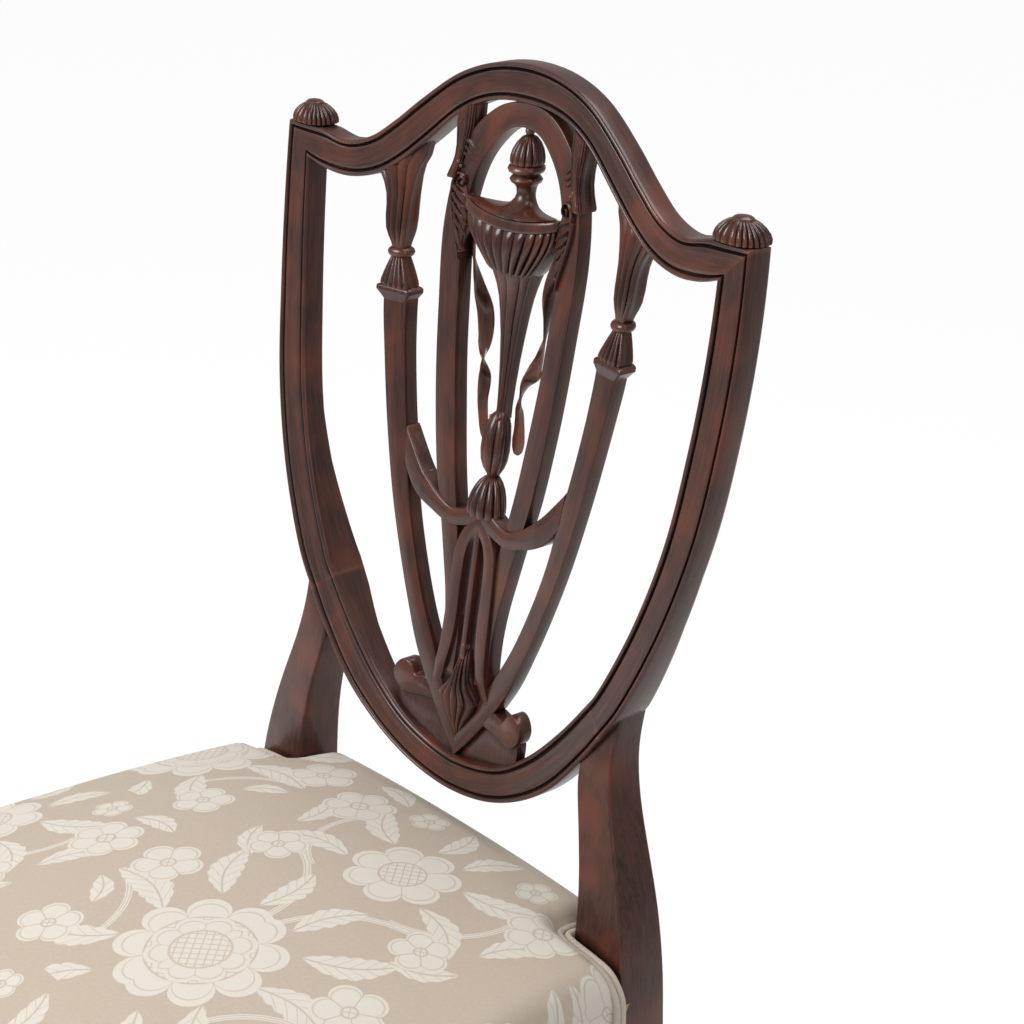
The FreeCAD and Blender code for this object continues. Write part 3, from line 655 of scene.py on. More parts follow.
def banister(name, node, flip):
    piece = Maker()
    band(piece, shaft_in, shaft_out, flat_section(17, THIN), splat_face, 90)
    # chamfered block, bell flower, ring and the capital with its lancet leaves
    block = [(-96.6, 112.6, 13.6, 6.6, 5.7, 0), (-97.4, 112.6, 15.4, 7.4, 5.7, 0),
             (-98.0, 112.6, 16.0, 7.7, 5.7, 0), (-100.6, 112.5, 16.0, 7.7, 5.7, 0),
             (-101.6, 112.3, 15.0, 7.2, 5.7, 0), (-105.2, 111.6, 11.6, 6.2, 5.7, 0),
             (-106.4, 111.4, 10.4, 5.9, 5.7, 0)]
    carved_stack(piece, splat_face, block, around=64, power=9.0, rear=THIN)
    bell = [(-76.5, 115.1, 6.0, 5.0, 5.7, 0.5), (-79.0, 114.9, 7.4, 5.6, 5.6, 1.2),
            (-83.0, 114.4, 9.4, 6.4, 5.4, 2.0), (-88.0, 113.8, 11.8, 7.2, 5.2, 2.4),
            (-92.5, 113.2, 13.8, 7.8, 5.0, 2.4), (-95.4, 112.9, 14.6, 8.0, 5.0, 2.2),
            (-97.0, 112.7, 14.0, 7.4, 5.1, 1.4), (-98.0, 112.6, 11.5, 6.0, 5.3, 0.4)]
    carved_stack(piece, splat_face, bell, lobes=6, around=144, power=2.9, even=True, rear=THIN)
    ring = [(-70.3, 115.7, 5.6, 4.6, 5.7, 0), (-70.9, 115.6, 7.4, 6.0, 5.7, 0),
            (-72.0, 115.5, 8.7, 7.1, 5.7, 0), (-73.8, 115.3, 9.3, 7.6, 5.7, 0),
            (-75.6, 115.2, 8.7, 7.1, 5.7, 0), (-76.8, 115.1, 7.4, 6.0, 5.7, 0),
            (-77.4, 115.1, 5.6, 4.6, 5.7, 0)]
    carved_stack(piece, splat_face, ring, around=48, power=2.4)
    capital = [(10.0, 119.0, 24.0, 5.6, 4.4, 1.0), (-6.0, 121.0, 24.0, 5.9, 4.2, 1.6),
               (-13.0, 123.0, 22.0, 6.2, 4.0, 2.0), (-21.0, 122.0, 18.6, 6.5, 4.2, 2.3),
               (-28.0, 120.0, 15.2, 6.7, 4.6, 2.5), (-35.0, 118.8, 12.9, 6.9, 4.9, 2.6),
               (-42.0, 118.2, 12.0, 7.1, 5.0, 2.7), (-50.0, 117.9, 11.8, 7.2, 5.1, 2.7),
               (-58.0, 117.4, 10.8, 7.0, 5.2, 2.2), (-63.0, 116.8, 8.8, 6.4, 5.4, 1.4),
               (-67.5, 116.1, 6.6, 5.5, 5.6, 0.5), (-71.5, 115.6, 5.4, 4.8, 5.7, 0.0)]
    carved_stack(piece, splat_face, capital, lobes=4, around=144, power=3.4, even=True, rear=THIN,
                 ceiling=under_crest)
    piece.finish(name, CARVED_WOOD, node, flip=flip)


for side, flip in SIDES:
    banister(side + "_banister_carved", side + "_banister", flip)

# ---------------------------------------------------------------- oval loop

loop_outer = [(0, 44.6), (25, 40), (45.6, 25.5), (56.5, 10.0), (64.5, -12), (69, -48), (65.6, -100),
              (62.5, -134), (58, -168), (50, -211), (41.5, -240), (34.5, -267), (28.5, -292), (25.5, -318),
              (27, -345)]
loop_inner = [(0, 28.6), (14, 26.0), (27, 16.5), (40, 0.0), (48, -23), (50.6, -50), (47.5, -95), (44.3, -130),
              (39.3, -165), (32.3, -207), (24.8, -240), (18.8, -267), (13.2, -292), (10.5, -318), (12, -345)]
loop = Maker()
band(loop, both_sides(loop_inner), both_sides(loop_outer), flat_section(17.5, THIN), loop_face, 220)
loop.finish("centre_loop_carved", FLAT_WOOD, "centre_loop")


def loop_drop(name, node, flip):
    """The fluted block that hangs from the crest at the loop's shoulder."""
    piece = Maker()
    stations = [(42.0, 58.0, 7.6, 7.6, 5.0, 0.5), (24.0, 57.9, 7.6, 7.8, 5.0, 0.8),
                (16.0, 57.9, 6.6, 7.8, 5.0, 1.0), (9.0, 58.2, 5.2, 7.8, 5.0, 1.2),
                (2.0, 59.2, 4.4, 7.8, 5.0, 1.2), (-4.0, 60.9, 4.4, 7.9, 5.0, 1.2),
                (-9.0, 62.9, 4.6, 8.1, 5.0, 1.1), (-12.2, 64.0, 4.8, 8.3, 5.0, 0.9),
                (-13.4, 64.2, 4.3, 7.8, 5.0, 0.4)]
    carved_stack(piece, loop_face, stations, lobes=14, around=140, power=4.5, ceiling=under_crest)
    piece.finish(name, CARVED_WOOD, node, flip=flip)


def acanthus(name, node, flip):
    """The leaf with its volute on the front of the loop, from the drop to the ribbon."""
    piece = Maker()
    side_leaf = [4.4, 4.6, 4.0, 1.6], [2.6, 3.4, 2.8, 1.0]
    ridges = [
        ([(58.0, 29), (58.4, 16), (58.0, 4), (57.0, -6)], [6.5, 5.5, 4.0, 2.0], [3.6, 3.2, 2.6, 1.4]),
        ([(61.5, 24), (62.0, 12), (61.2, 2), (60.0, -6)], [3.0, 3.0, 2.6, 1.4], [2.8, 2.6, 2.0, 1.2]),
        ([(57.5, 16), (52.0, 11.6), (46.5, 8.2), (42.6, 8.6)], [4.2, 3.6, 2.6, 1.2], [2.8, 2.4, 1.8, 0.8]),
        ([(57.5, 11.5), (52.5, 7.0), (47.5, 3.6), (44.0, 4.4)], [3.6, 3.2, 2.4, 1.0], [2.6, 2.2, 1.6, 0.8]),
        ([(57.6, 7.0), (53.5, 2.8), (49.5, 0.2), (46.6, 0.8)], [3.2, 2.8, 2.0, 0.9], [2.4, 2.0, 1.4, 0.7]),
        ([(60.6, 0), (63.6, -5.0), (66.2, -9.6)], [2.6, 3.2, 0.8], [2.2, 2.0, 0.8]),
        ([(60.8, -29), (61.2, -20), (60.0, -13), (56.4, -9.2), (52.0, -10.0), (50.4, -14.0), (52.6, -17.4),
          (56.0, -16.4), (56.2, -13.4), (53.8, -12.8)], [1.8, 3.0, 3.2, 3.0, 2.8, 2.6, 2.3, 2.0, 1.8, 1.6],
         [1.6, 2.8, 3.2, 3.3, 3.2, 3.0, 2.8, 2.7, 2.9, 3.2]),
        ([(60.6, -18), (56.5, -20.6), (51.0, -23.0), (46.6, -27.0)], *side_leaf),
        ([(60.2, -23), (56.0, -27.2), (50.5, -30.6), (45.8, -34.6)], *side_leaf),
        ([(59.2, -29), (55.2, -34.0), (50.0, -38.0), (45.4, -42.0)], *side_leaf),
        ([(58.0, -35), (54.4, -40.6), (50.2, -44.8), (46.0, -48.6)],
         [4.2, 4.4, 3.8, 1.6], [2.4, 3.2, 2.6, 1.0]),
        ([(56.6, -40), (54.2, -47.0), (51.4, -53.4), (47.4, -58.4)],
         [4.2, 4.8, 4.4, 1.8], [2.4, 3.2, 2.8, 1.2]),
        ([(62.0, -20), (61.4, -28), (58.8, -38), (55.4, -48), (52.4, -58), (50.4, -66)],
         [2.6, 3.4, 3.2, 3.0, 2.4, 1.0], [2.0, 2.6, 2.6, 2.4, 2.0, 0.8]),
    ]
    body = [(60.5, -10), (62.4, -18), (61.6, -28), (58.6, -39), (55.0, -50), (51.0, -62), (49.6, -60),
            (48.2, -52), (47.0, -46), (46.0, -38), (46.2, -30), (47.6, -22), (51.0, -15), (55.5, -10)]
    plate(piece, loop_face, body, -1.6, 5.0, ease=1.2, count=64)
    for path, widths, heights in ridges:
        ridge(piece, loop_face, path, widths, heights, -1.2 if path[0][1] < -15 else 0.2, 8 + 4 * len(path))
    for x, h, r in [(58.8, -2.0, 1.8), (56.4, -4.6, 1.5), (60.4, -5.6, 1.4)]:
        bead(piece, loop_face, x, h, -1.4, r)
    piece.finish(name, CARVED_WOOD, node, flip=flip)


for side, flip in SIDES:
    loop_drop(side + "_drop_carved", side + "_loop_drop", flip)
    acanthus(side + "_acanthus_carved", side + "_acanthus", flip)

# ---------------------------------------------------------------- urn

urn = Maker()
bead(urn, splat_face, 0, 26.2, -1.0, 3.3)
acorn = [(24.4, 1.6, 1.6, -0.6, 0), (22.8, 5.2, 5.0, -0.5, 0.5), (19.0, 8.6, 8.2, -0.4, 1.2),
         (14.5, 11.0, 10.4, -0.3, 1.6), (10.0, 12.2, 11.4, -0.2, 1.7), (6.6, 12.2, 11.4, 0.0, 1.5),
         (4.8, 11.0, 10.2, 0.0, 0.6), (4.2, 9.0, 8.4, 0.0, 0)]
centred(urn, acorn, lobes=14, around=140, rear=THIN)
neck = [(5.0, 11.0, 10.3, 0.0, 0.0), (4.2, 12.4, 11.6, 0.0, 0.0), (2.4, 13.0, 12.1, 0.0, 0.0),
        (0.6, 12.2, 11.4, 0.2, 0.0), (-0.6, 10.0, 9.4, 0.3, 0.0), (-1.8, 9.2, 8.7, 0.5, 0.0),
        (-2.8, 10.4, 9.7, 0.6, 0.0), (-4.4, 11.6, 10.6, 0.8, 0.0), (-6.2, 10.8, 9.9, 1.0, 0.0),
        (-7.6, 8.4, 8.0, 1.4, 0.0), (-10.0, 7.0, 6.8, 2.0, 0.0), (-14.0, 6.4, 6.2, 2.3, 0.0),
        (-17.0, 7.2, 6.8, 2.0, 0.0), (-20.2, 9.6, 8.4, 1.2, 0.2), (-22.8, 14.0, 10.0, -0.4, 0.8),
        (-24.6, 20.5, 11.2, -2.2, 2.0), (-25.8, 28.5, 11.4, -3.8, 3.2), (-26.6, 36.0, 10.8, -5.0, 4.4),
        (-27.4, 43.5, 9.8, -5.8, 5.6)]
centred(urn, [(h, w, b, m, 0, r) for h, w, b, m, r in neck], around=72)
rim = [(-28.0, 44.6, 8.9, 5.9), (-28.0, 46.4, 9.5, 6.0), (-28.7, 47.4, 9.9, 6.1), (-29.6, 47.6, 10.0, 6.1),
       (-33.6, 47.4, 10.0, 6.1), (-34.5, 47.0, 9.8, 6.1), (-35.2, 45.8, 9.2, 6.1), (-35.4, 43.6, 8.4, 6.0)]
centred(urn, [(h, w, b, -5.8, 0, r) for h, w, b, r in rim], around=96)
gadroons = [(-34.6, 43.5, 8.4, -5.6, 1.0, 6.0), (-36.0, 45.2, 9.6, -5.5, 2.2, 5.8),
            (-41.0, 44.4, 10.8, -5.2, 3.0, 5.0), (-47.0, 40.6, 11.2, -4.6, 3.2, 3.6),
            (-53.0, 34.6, 10.8, -3.8, 3.0, 2.2), (-58.0, 28.4, 9.9, -3.0, 2.6, 1.0, 0.4),
            (-61.6, 23.4, 9.0, -2.4, 2.0, 0.4, 1.2), (-62.8, 20.4, 8.2, -1.9, 1.2, 0.0, 1.8),
            (-62.4, 17.0, 7.0, -1.4, 0.4, 0.0, 1.0)]
centred(urn, gadroons, lobes=24, around=240, rear=THIN, board=True)
stem = [(-58.0, 22.0, 7.6, -1.2, 0.5), (-64.0, 20.6, 8.0, -0.6, 1.2), (-69.0, 18.2, 7.8, 0.6, 1.5),
        (-75.0, 15.6, 7.6, 1.9, 1.5), (-83.0, 12.8, 7.6, 3.1, 1.5), (-93.0, 10.6, 7.6, 4.0, 1.3),
        (-108.0, 8.2, 6.8, 4.8, 1.1),
        (-125.0, 6.0, 5.8, 5.2, 0.9), (-142.0, 4.6, 4.8, 5.4, 0.7), (-156.0, 3.9, 4.2, 5.5, 0.4),
        (-164.0, 4.2, 4.4, 5.4, 0.2)]
centred(urn, stem, lobes=8, around=120, rear=THIN, board=True)
bud = [(-159.0, 3.6, 4.0, 5.2, 0.2), (-162.0, 7.0, 6.0, 4.6, 0.9), (-168.0, 9.8, 7.8, 4.0, 2.0),
       (-177.0, 11.4, 8.8, 3.6, 2.6), (-185.0, 11.6, 9.0, 3.6, 2.7), (-192.0, 10.6, 8.4, 3.8, 2.2),
       (-197.5, 8.2, 7.0, 4.2, 1.4), (-201.5, 5.0, 5.0, 4.8, 0.6), (-205.5, 3.0, 3.6, 5.0, 0)]
centred(urn, bud, lobes=6, around=96, rear=THIN)
for x in (-3.4, 3.4):
    bead(urn, splat_face, x, -162.5, -0.4, 1.7)
urn.finish("urn_carved", CARVED_WOOD, "urn")

flower = Maker()
petals = [(-202.5, 3.0, 3.4, 4.6, 0.3), (-204.5, 6.4, 5.6, 4.0, 0.9), (-207.5, 9.8, 7.6, 3.4, 1.6),
          (-211.5, 12.6, 9.2, 3.0, 2.2), (-216.5, 14.8, 10.4, 2.6, 2.6), (-221.5, 16.2, 11.0, 2.4, 2.6, 0, 0.5),
          (-225.5, 16.8, 11.0, 2.4, 2.4, 0, 1.2), (-228.2, 16.0, 10.2, 2.6, 1.6, 0, 1.8),
          (-227.4, 12.4, 8.0, 3.0, 0.5, 0, 1.0)]
centred(flower, petals, lobes=12, around=144, rear=THIN)
heart = [(-224.0, 8.8, 6.0, 4.8, 0), (-229.0, 9.2, 6.4, 4.8, 0), (-233.0, 8.8, 6.2, 5.0, 0),
         (-237.5, 6.4, 5.4, 5.2, 0), (-240.0, 3.0, 4.4, 5.4, 0)]
centred(flower, heart, around=40, rear=THIN)
flower.finish("bell_flower_carved", CARVED_WOOD, "bell_flower")


def ribbon(name, node, flip, path, broad, tail):
    """A flat ribbon that turns over as it falls from the acanthus to the tip of the urn."""
    piece = Maker()
    section = [(-1, 0), (-0.8, 0.9), (0, 1.15), (0.8, 0.9), (1, 0), (0.8, -0.9), (0, -0.75), (-0.8, -0.9)]
    line = smooth_run(path, 80)
    stations = []
    for k, ((x, h), ahead) in enumerate(zip(line, headings(line))):
        s = k / (len(line) - 1.0)
        turn = float(np.interp(s, [0, 0.15, 0.30, 0.42, 0.55, 0.64, 0.70, 0.80, 1.0],
                               [0.3, 0.9, 1.7, 2.3, 3.0, 4.2, 5.1, 5.9, 6.3]))
        wide = np.interp(s, [0, 0.08, 0.3, 0.62, 0.8, 0.94, 0.98, 1.0],
                         [broad * 0.7, broad, broad, broad * 0.85, tail, tail, tail * 0.75, tail * 0.3])
        points, grain = [], []
        for u, b in section:
            a = u * wide
            out = a * math.cos(turn) - b * math.sin(turn)
            deep = a * math.sin(turn) + b * math.cos(turn)
            points.append(on_face(splat_face, x + ahead[1] * out, h - ahead[0] * out, 4.6 - deep * 0.9))
            grain.append((a, b, k * 2.2))
        stations.append((points, grain))
    piece.sweep(stations)
    piece.finish(name, CARVED_WOOD, node, flip=flip)


ribbon("right_ribbon_carved", "right_ribbon", False,
       [(49, -42), (41, -56), (35.5, -73), (36.0, -89), (35.0, -105), (29.5, -125), (21.5, -138),
        (18.0, -150), (20.0, -160), (21.5, -171), (21.0, -183)], 6.8, 7.8)
ribbon("left_ribbon_carved", "left_ribbon", True,
       [(50, -50), (45, -66), (36, -84), (28, -98), (25.0, -112), (25.5, -127), (21.0, -140),
        (20.0, -156), (17.0, -169), (14.0, -181)], 6.2, 4.2)

# ---------------------------------------------------------------- swags, lancet, leaf and scrolls

swag_top = [(3, -222), (10, -225.5), (17, -228.8), (26, -231.5), (34, -231), (44.5, -226.5), (53.5, -220.5),
            (64.5, -212), (75, -201), (85.5, -189)]
swag_low = [(3, -236), (10, -238.8), (20, -241.8), (28, -243), (37, -242.3), (49, -238.5), (60, -234.5),
            (71.5, -228), (80, -218.5), (82.5, -214)]


def swag_face(x, h):
    """The swags pass before the loop and sink back to the banisters."""
    return splat_face(x, h) - 3.2 * min(1.0, max(0.0, (84.0 - abs(x)) / 22.0))


def lancet_face(x, h):
    return splat_face(x, h) - 3.2 * min(1.0, max(0.0, (h + 354.0) / 15.0))


for side, flip in SIDES:
    swag = Maker()
    band(swag, swag_low, swag_top, flat_section(12, 12.0, front=1.0), swag_face, 70)
    swag.finish(side + "_swag_carved", FLAT_WOOD, side + "_swag", flip=flip)

lancet_out = [(0, -229), (8.5, -235.5), (15.5, -243.5), (20.5, -255), (22.6, -275), (23.2, -294), (23.8, -312),
              (25.5, -332), (30, -350), (33, -358)]
lancet_in = [(0, -243), (5.6, -247), (9.8, -257), (11.4, -278), (11.3, -300), (12.4, -317), (16.6, -338),
             (22.5, -354), (25, -360)]
lancet = Maker()
band(lancet, both_sides(lancet_in), both_sides(lancet_out), flat_section(11.5, 15.0, front=0.8),
     lancet_face, 150)
band(lancet, [(-2.5, -240), (-2.5, -330)], [(2.5, -240), (2.5, -330)], flat_section(5.0, 15.0, front=0.7),
     lancet_face, 30)
lancet.finish("lancet_carved", FLAT_WOOD, "lancet")

boss = Maker()
leaf_rows = [(-322.0, 1.2, 2.4, 3.0, 0.2), (-325.0, 3.2, 4.2, 2.4, 0.8), (-331.0, 4.8, 6.0, 1.8, 1.6),
             (-338.0, 6.8, 7.6, 1.4, 2.6), (-345.0, 9.0, 8.8, 1.2, 3.4), (-350.0, 13.0, 9.6, 1.2, 3.8),
             (-354.5, 18.4, 9.8, 1.4, 4.0), (-358.5, 21.6, 9.6, 1.6, 3.8), (-363.0, 20.0, 9.2, 2.0, 3.4),
             (-369.0, 15.0, 8.4, 2.6, 2.6), (-377.0, 8.4, 7.0, 3.4, 1.6), (-386.0, 1.6, 4.6, 5.0, 0.3)]
centred(boss, leaf_rows, lobes=5, around=150, power=2.3, even=True, rear=THIN)
bead(boss, splat_face, 0, -321.5, -0.6, 3.2)
boss.finish("leaf_boss_carved", CARVED_WOOD, "leaf_boss")


def scroll(name, node, flip):
    """The web beside the foot of the banisters, with a raised lobe cut like an ear."""
    piece = Maker()
    web = [(3, -400), (10, -388), (19, -376), (27, -369), (42, -368), (55, -371), (65, -369), (66.5, -379),
           (64, -389), (45, -398), (20, -408), (6, -411)]
    plate(piece, splat_face, web, 3.2, THIN, ease=0.7, count=80)
    lobe = [(28, -365), (32.5, -359.5), (38, -356.8), (44, -357.8), (49.2, -358.4), (52.8, -353.8),
            (58.5, -350.6), (65.3, -352.6), (70, -359.5), (69, -366.2), (64, -371.2), (57, -373.2),
            (47, -372.2), (37, -370.4), (28, -369)]
    plate(piece, splat_face, lobe, 0.0, THIN, ease=0.9, count=110)
    piece.finish(name, CARVED_WOOD, node, flip=flip)


for side, flip in SIDES:
    scroll(side + "_scroll_carved", side + "_scroll", flip)

# ---------------------------------------------------------------- ear caps


def ear_cap(name, node, flip):
    """A low dome with radiating gadroons and a smooth button on top."""
    piece = Maker()
    seat_y = shield_face(217.0, 0.0) + DEEP / 2 + 1.5

    def level_face(x, h):
        return seat_y

    dome = [(0.0, 216.5, 17.6, 11.4, 0, 0.3), (0.7, 216.5, 19.4, 13.0, 0, 1.2),
            (3.0, 216.5, 19.6, 13.2, 0, 1.9), (6.0, 216.5, 18.4, 12.4, 0, 2.2),
            (8.8, 216.5, 16.0, 10.9, 0, 2.1), (11.2, 216.5, 12.8, 8.9, 0, 1.6), (12.8, 216.5, 9.8, 7.1, 0, 0.9),
            (13.4, 216.5, 8.0, 6.0, 0, 0.3)]
    carved_stack(piece, level_face, dome, lobes=24, around=240, power=2.4)
    button = [(12.4, 217, 6.4, 5.0, 0, 0), (13.2, 217, 7.6, 5.9, 0, 0), (14.4, 217, 7.3, 5.6, 0, 0),
              (15.4, 217, 5.6, 4.2, 0, 0), (15.9, 217, 3.2, 2.4, 0, 0), (16.0, 217, 0.9, 0.7, 0, 0)]
    carved_stack(piece, level_face, button, around=40)
    piece.finish(name, CARVED_WOOD, node, flip=flip)


for side, flip in SIDES:
    ear_cap(side + "_cap_carved", side + "_ear_cap", flip)

# ---------------------------------------------------------------- seat

SEAT_FRONT = BACK - 504.6
SEAT_REAR = BACK - 53.0
LEG_OUT = 258.0  # half the seat's width at the front
POST_FRONT = BACK - 88.5
SLANT = (LEG_OUT - 209.0) / (POST_FRONT - SEAT_FRONT)
GROW = 2.6  # the cloth and its lining over the rails
CORD = 2.6  # radius of the cords on the top
HEM_CORD = 1.9  # radius of the cords along the lower edge
NOTCH_X = 158.2
NOTCH_Y = POST_FRONT - 0.4
LIP = 4 * CORD - 1.0  # width of the pressed edge under two cords
EDGE_ROUND, LIP_ROUND = 17.0, 13.0
HELD = 16.0  # width of the edge that the swelling leaves alone
NEAR = 0.6  # a point closer than this lies on an edge of the plan
RAIL_LOW, STUB_LOW = 372.4, 442.0  # where the cover ends, on the rails and at the posts
TUCK = 14.0  # cloth turned in under the rails
SEAT_EDGE, CROWN = 463.0, 38.0  # the top's height above the rails, and its rise in the middle
SKIRT_STEPS = 13


def seat_top(x, y):
    """Height of the stuffed top before its edges are rounded down."""
    mid = (SEAT_FRONT + SEAT_REAR) / 2 + 27.5
    half = (SEAT_REAR - SEAT_FRONT) / 2 + 31.5
    across = abs(x) / (LEG_OUT + 6.0)
    along = abs(y - mid) / half
    return SEAT_EDGE + CROWN * max(-0.25, (1 - across ** 2.3) * (1 - along ** 2.3))


def side_edge(y):
    return LEG_OUT + GROW - SLANT * (y - SEAT_FRONT)


def sunk(gap, radius):
    """How far a rounded edge lies below its top at a distance from the side."""
    return radius - math.sqrt(max(0.0, radius ** 2 - max(0.0, radius - gap) ** 2))


def under_cord(x, y):
    """Height of the pressed-down edge the double cord lies on."""
    gap = max(0.0, min(side_edge(y) - abs(x), SEAT_REAR + GROW - y))
    return seat_top(x, y) - sunk(gap, EDGE_ROUND) - LIP_ROUND


def cushion_plan():
    """The seat's plan as a fine sheet, with the two rear corners cut out for the posts."""
    bm = bmesh.new()
    bmesh.ops.create_grid(bm, x_segments=150, y_segments=130, size=0.5)
    for vert in bm.verts:
        y = SEAT_FRONT - GROW + (SEAT_REAR - SEAT_FRONT + 2 * GROW) * (vert.co.y + 0.5)
        vert.co = (vert.co.x * 2.0 * side_edge(y), y, 0.0)
    sideways, forward = (1, 0, 0), (0, 1, 0)
    for place, normal in (((NOTCH_X, 0, 0), sideways), ((-NOTCH_X, 0, 0), sideways), ((0, NOTCH_Y, 0), forward)):
        bmesh.ops.bisect_plane(bm, geom=bm.verts[:] + bm.edges[:] + bm.faces[:], plane_co=place,
                               plane_no=normal, dist=0.4)
    middles = {f: f.calc_center_median() for f in bm.faces}
    gone = [f for f, c in middles.items() if abs(c.x) > NOTCH_X and c.y > NOTCH_Y]
    bmesh.ops.delete(bm, geom=gone, context="FACES")
    bmesh.ops.remove_doubles(bm, verts=bm.verts, dist=0.5)
    return bm


def swell(piece, most):
    """Cloth held at its edges and pushed up by the stuffing, with a cap on how far it moves."""
    before = [v.co.copy() for v in piece.data.vertices]
    held = piece.vertex_groups.new(name="held")
    free = piece.data.attributes["free"].data
    held.add([k for k in range(len(before)) if free[k].value < 0.5], 1.0, "REPLACE")
    cloth = piece.modifiers.new("stuffing", "CLOTH")
    for key, value in {"quality": 4, "mass": 0.3, "tension_stiffness": 12.0, "compression_stiffness": 12.0,
                       "bending_stiffness": 2.0, "vertex_group_mass": "held", "use_pressure": True,
                       "uniform_pressure_force": 4.0}.items():
        setattr(cloth.settings, key, value)
    cloth.settings.effector_weights.gravity = 0.0
    cloth.collision_settings.use_collision = False
    for step in range(1, 21):
        bpy.context.scene.frame_set(step)
    posed = piece.evaluated_get(bpy.context.evaluated_depsgraph_get())
    after = [v.co.copy() for v in posed.data.vertices]
    piece.modifiers.remove(cloth)
    bpy.context.scene.frame_set(1)
    for vert, start, end in zip(piece.data.vertices, before, after):
        move = end - start
        if move.length > most:
            move *= most / move.length
        vert.co = start + move
    piece.vertex_groups.remove(held)


def edge_facing(x, y):
    """Which way the cloth turns down at a point on the plan's edge, and whether that is at a post."""
    at_side, at_rear = abs(x) > side_edge(y) - NEAR, y > SEAT_REAR + GROW - NEAR
    at_post = abs(x) > NOTCH_X - NEAR and y > NOTCH_Y - NEAR and not (
        abs(x) >= side_edge(y) - NEAR or y >= SEAT_REAR + GROW - NEAR)
    across = math.copysign(1.0, x) if at_side or (at_post and abs(x) < NOTCH_X + NEAR) else 0.0
    along = -1.0 if y < SEAT_FRONT - GROW + NEAR else 0.0
    if at_rear or (at_post and y < NOTCH_Y + NEAR):
        along = 1.0
    return Vector((across, along, 0.0)), at_post


def nearest(spots, others):
    """The distance from each spot to the nearest of some other points."""
    return np.sqrt(((spots[:, None, :] - others[None, :, :]) ** 2).sum(2)).min(1)


def seat_piece(material):
    """The stuffed seat: a rounded top, and sides drawn down over the rails and turned in under them."""
    bm = cushion_plan()
    cloth = bm.verts.layers.float_vector.new("cloth")
    loose = bm.verts.layers.float.new("free")
    edges = [e for e in bm.edges if e.is_boundary]
    outer, notch, facing = [], [], {}
    for vert in {v for e in edges for v in e.verts}:
        facing[vert], at_post = edge_facing(vert.co.x, vert.co.y)
        (notch if at_post else outer).append((vert.co.x, vert.co.y))
    outer, notch = np.array(outer), np.array(notch)
    sheet, batch = list(bm.verts), 1000
    for start in range(0, len(sheet), batch):
        some = sheet[start:start + batch]
        spots = np.array([v.co[:2] for v in some])
        for vert, (x, y), gap, cut in zip(some, spots, nearest(spots, outer), nearest(spots, notch)):
            vert[cloth] = (x, y, 0.0)
            vert[loose] = 1.0 if gap > HELD and cut > HELD + LIP else 0.0
            vert.co.z = seat_top(x, y) - sunk(gap, EDGE_ROUND) - sunk(max(0.0, cut - LIP), LIP_ROUND)
    for k in range(SKIRT_STEPS + 1):
        verts, edges = fresh_parts(bmesh.ops.extrude_edge_only(bm, edges=edges))
        passed = {}
        for vert in verts:
            parent = next(e.other_vert(vert) for e in vert.link_edges if e.other_vert(vert) in facing)
            passed[vert] = facing[parent]
            near_post = abs(vert.co.x) > NOTCH_X - 2 and vert.co.y > NOTCH_Y - 1
            low = STUB_LOW if near_post and abs(vert.co.x) < 204.0 else RAIL_LOW
            down = (vert.co.z - low) / (SKIRT_STEPS - k) if k < SKIRT_STEPS else 0.0
            vert.co.z -= down
            vert[cloth] = parent[cloth] + passed[vert] * down
            vert[loose] = 0.0
            if k == SKIRT_STEPS and low == RAIL_LOW:
                vert.co -= passed[vert] * TUCK
        facing = passed
    to_metres(bm)
    piece = place_piece("seat_cushion", bm, material)
    swell(piece, 0.005)
    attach(piece, "root")
    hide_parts("seat_cover", "seat_foam")


def cord_run(maker, points, radius, count):
    """A round sewn cord along a smooth line through points in the room."""
    line = smooth_run(points, count)
    side = np.array([0.577, 0.577, 0.577])
    round_it = 12
    stations = []
    for k, (spot, ahead) in enumerate(zip(line, headings(line))):
        side = side - ahead * side.dot(ahead)
        side /= math.sqrt(side.dot(side))
        up = np.cross(ahead, side)
        turns = [2 * math.pi * j / round_it for j in range(round_it)]
        stations.append(([Vector(spot + radius * (math.cos(t) * side + math.sin(t) * up)) for t in turns],
                         [(j * 1.3, 0.0, k * 1.0) for j in range(round_it)]))
    maker.sweep(stations)


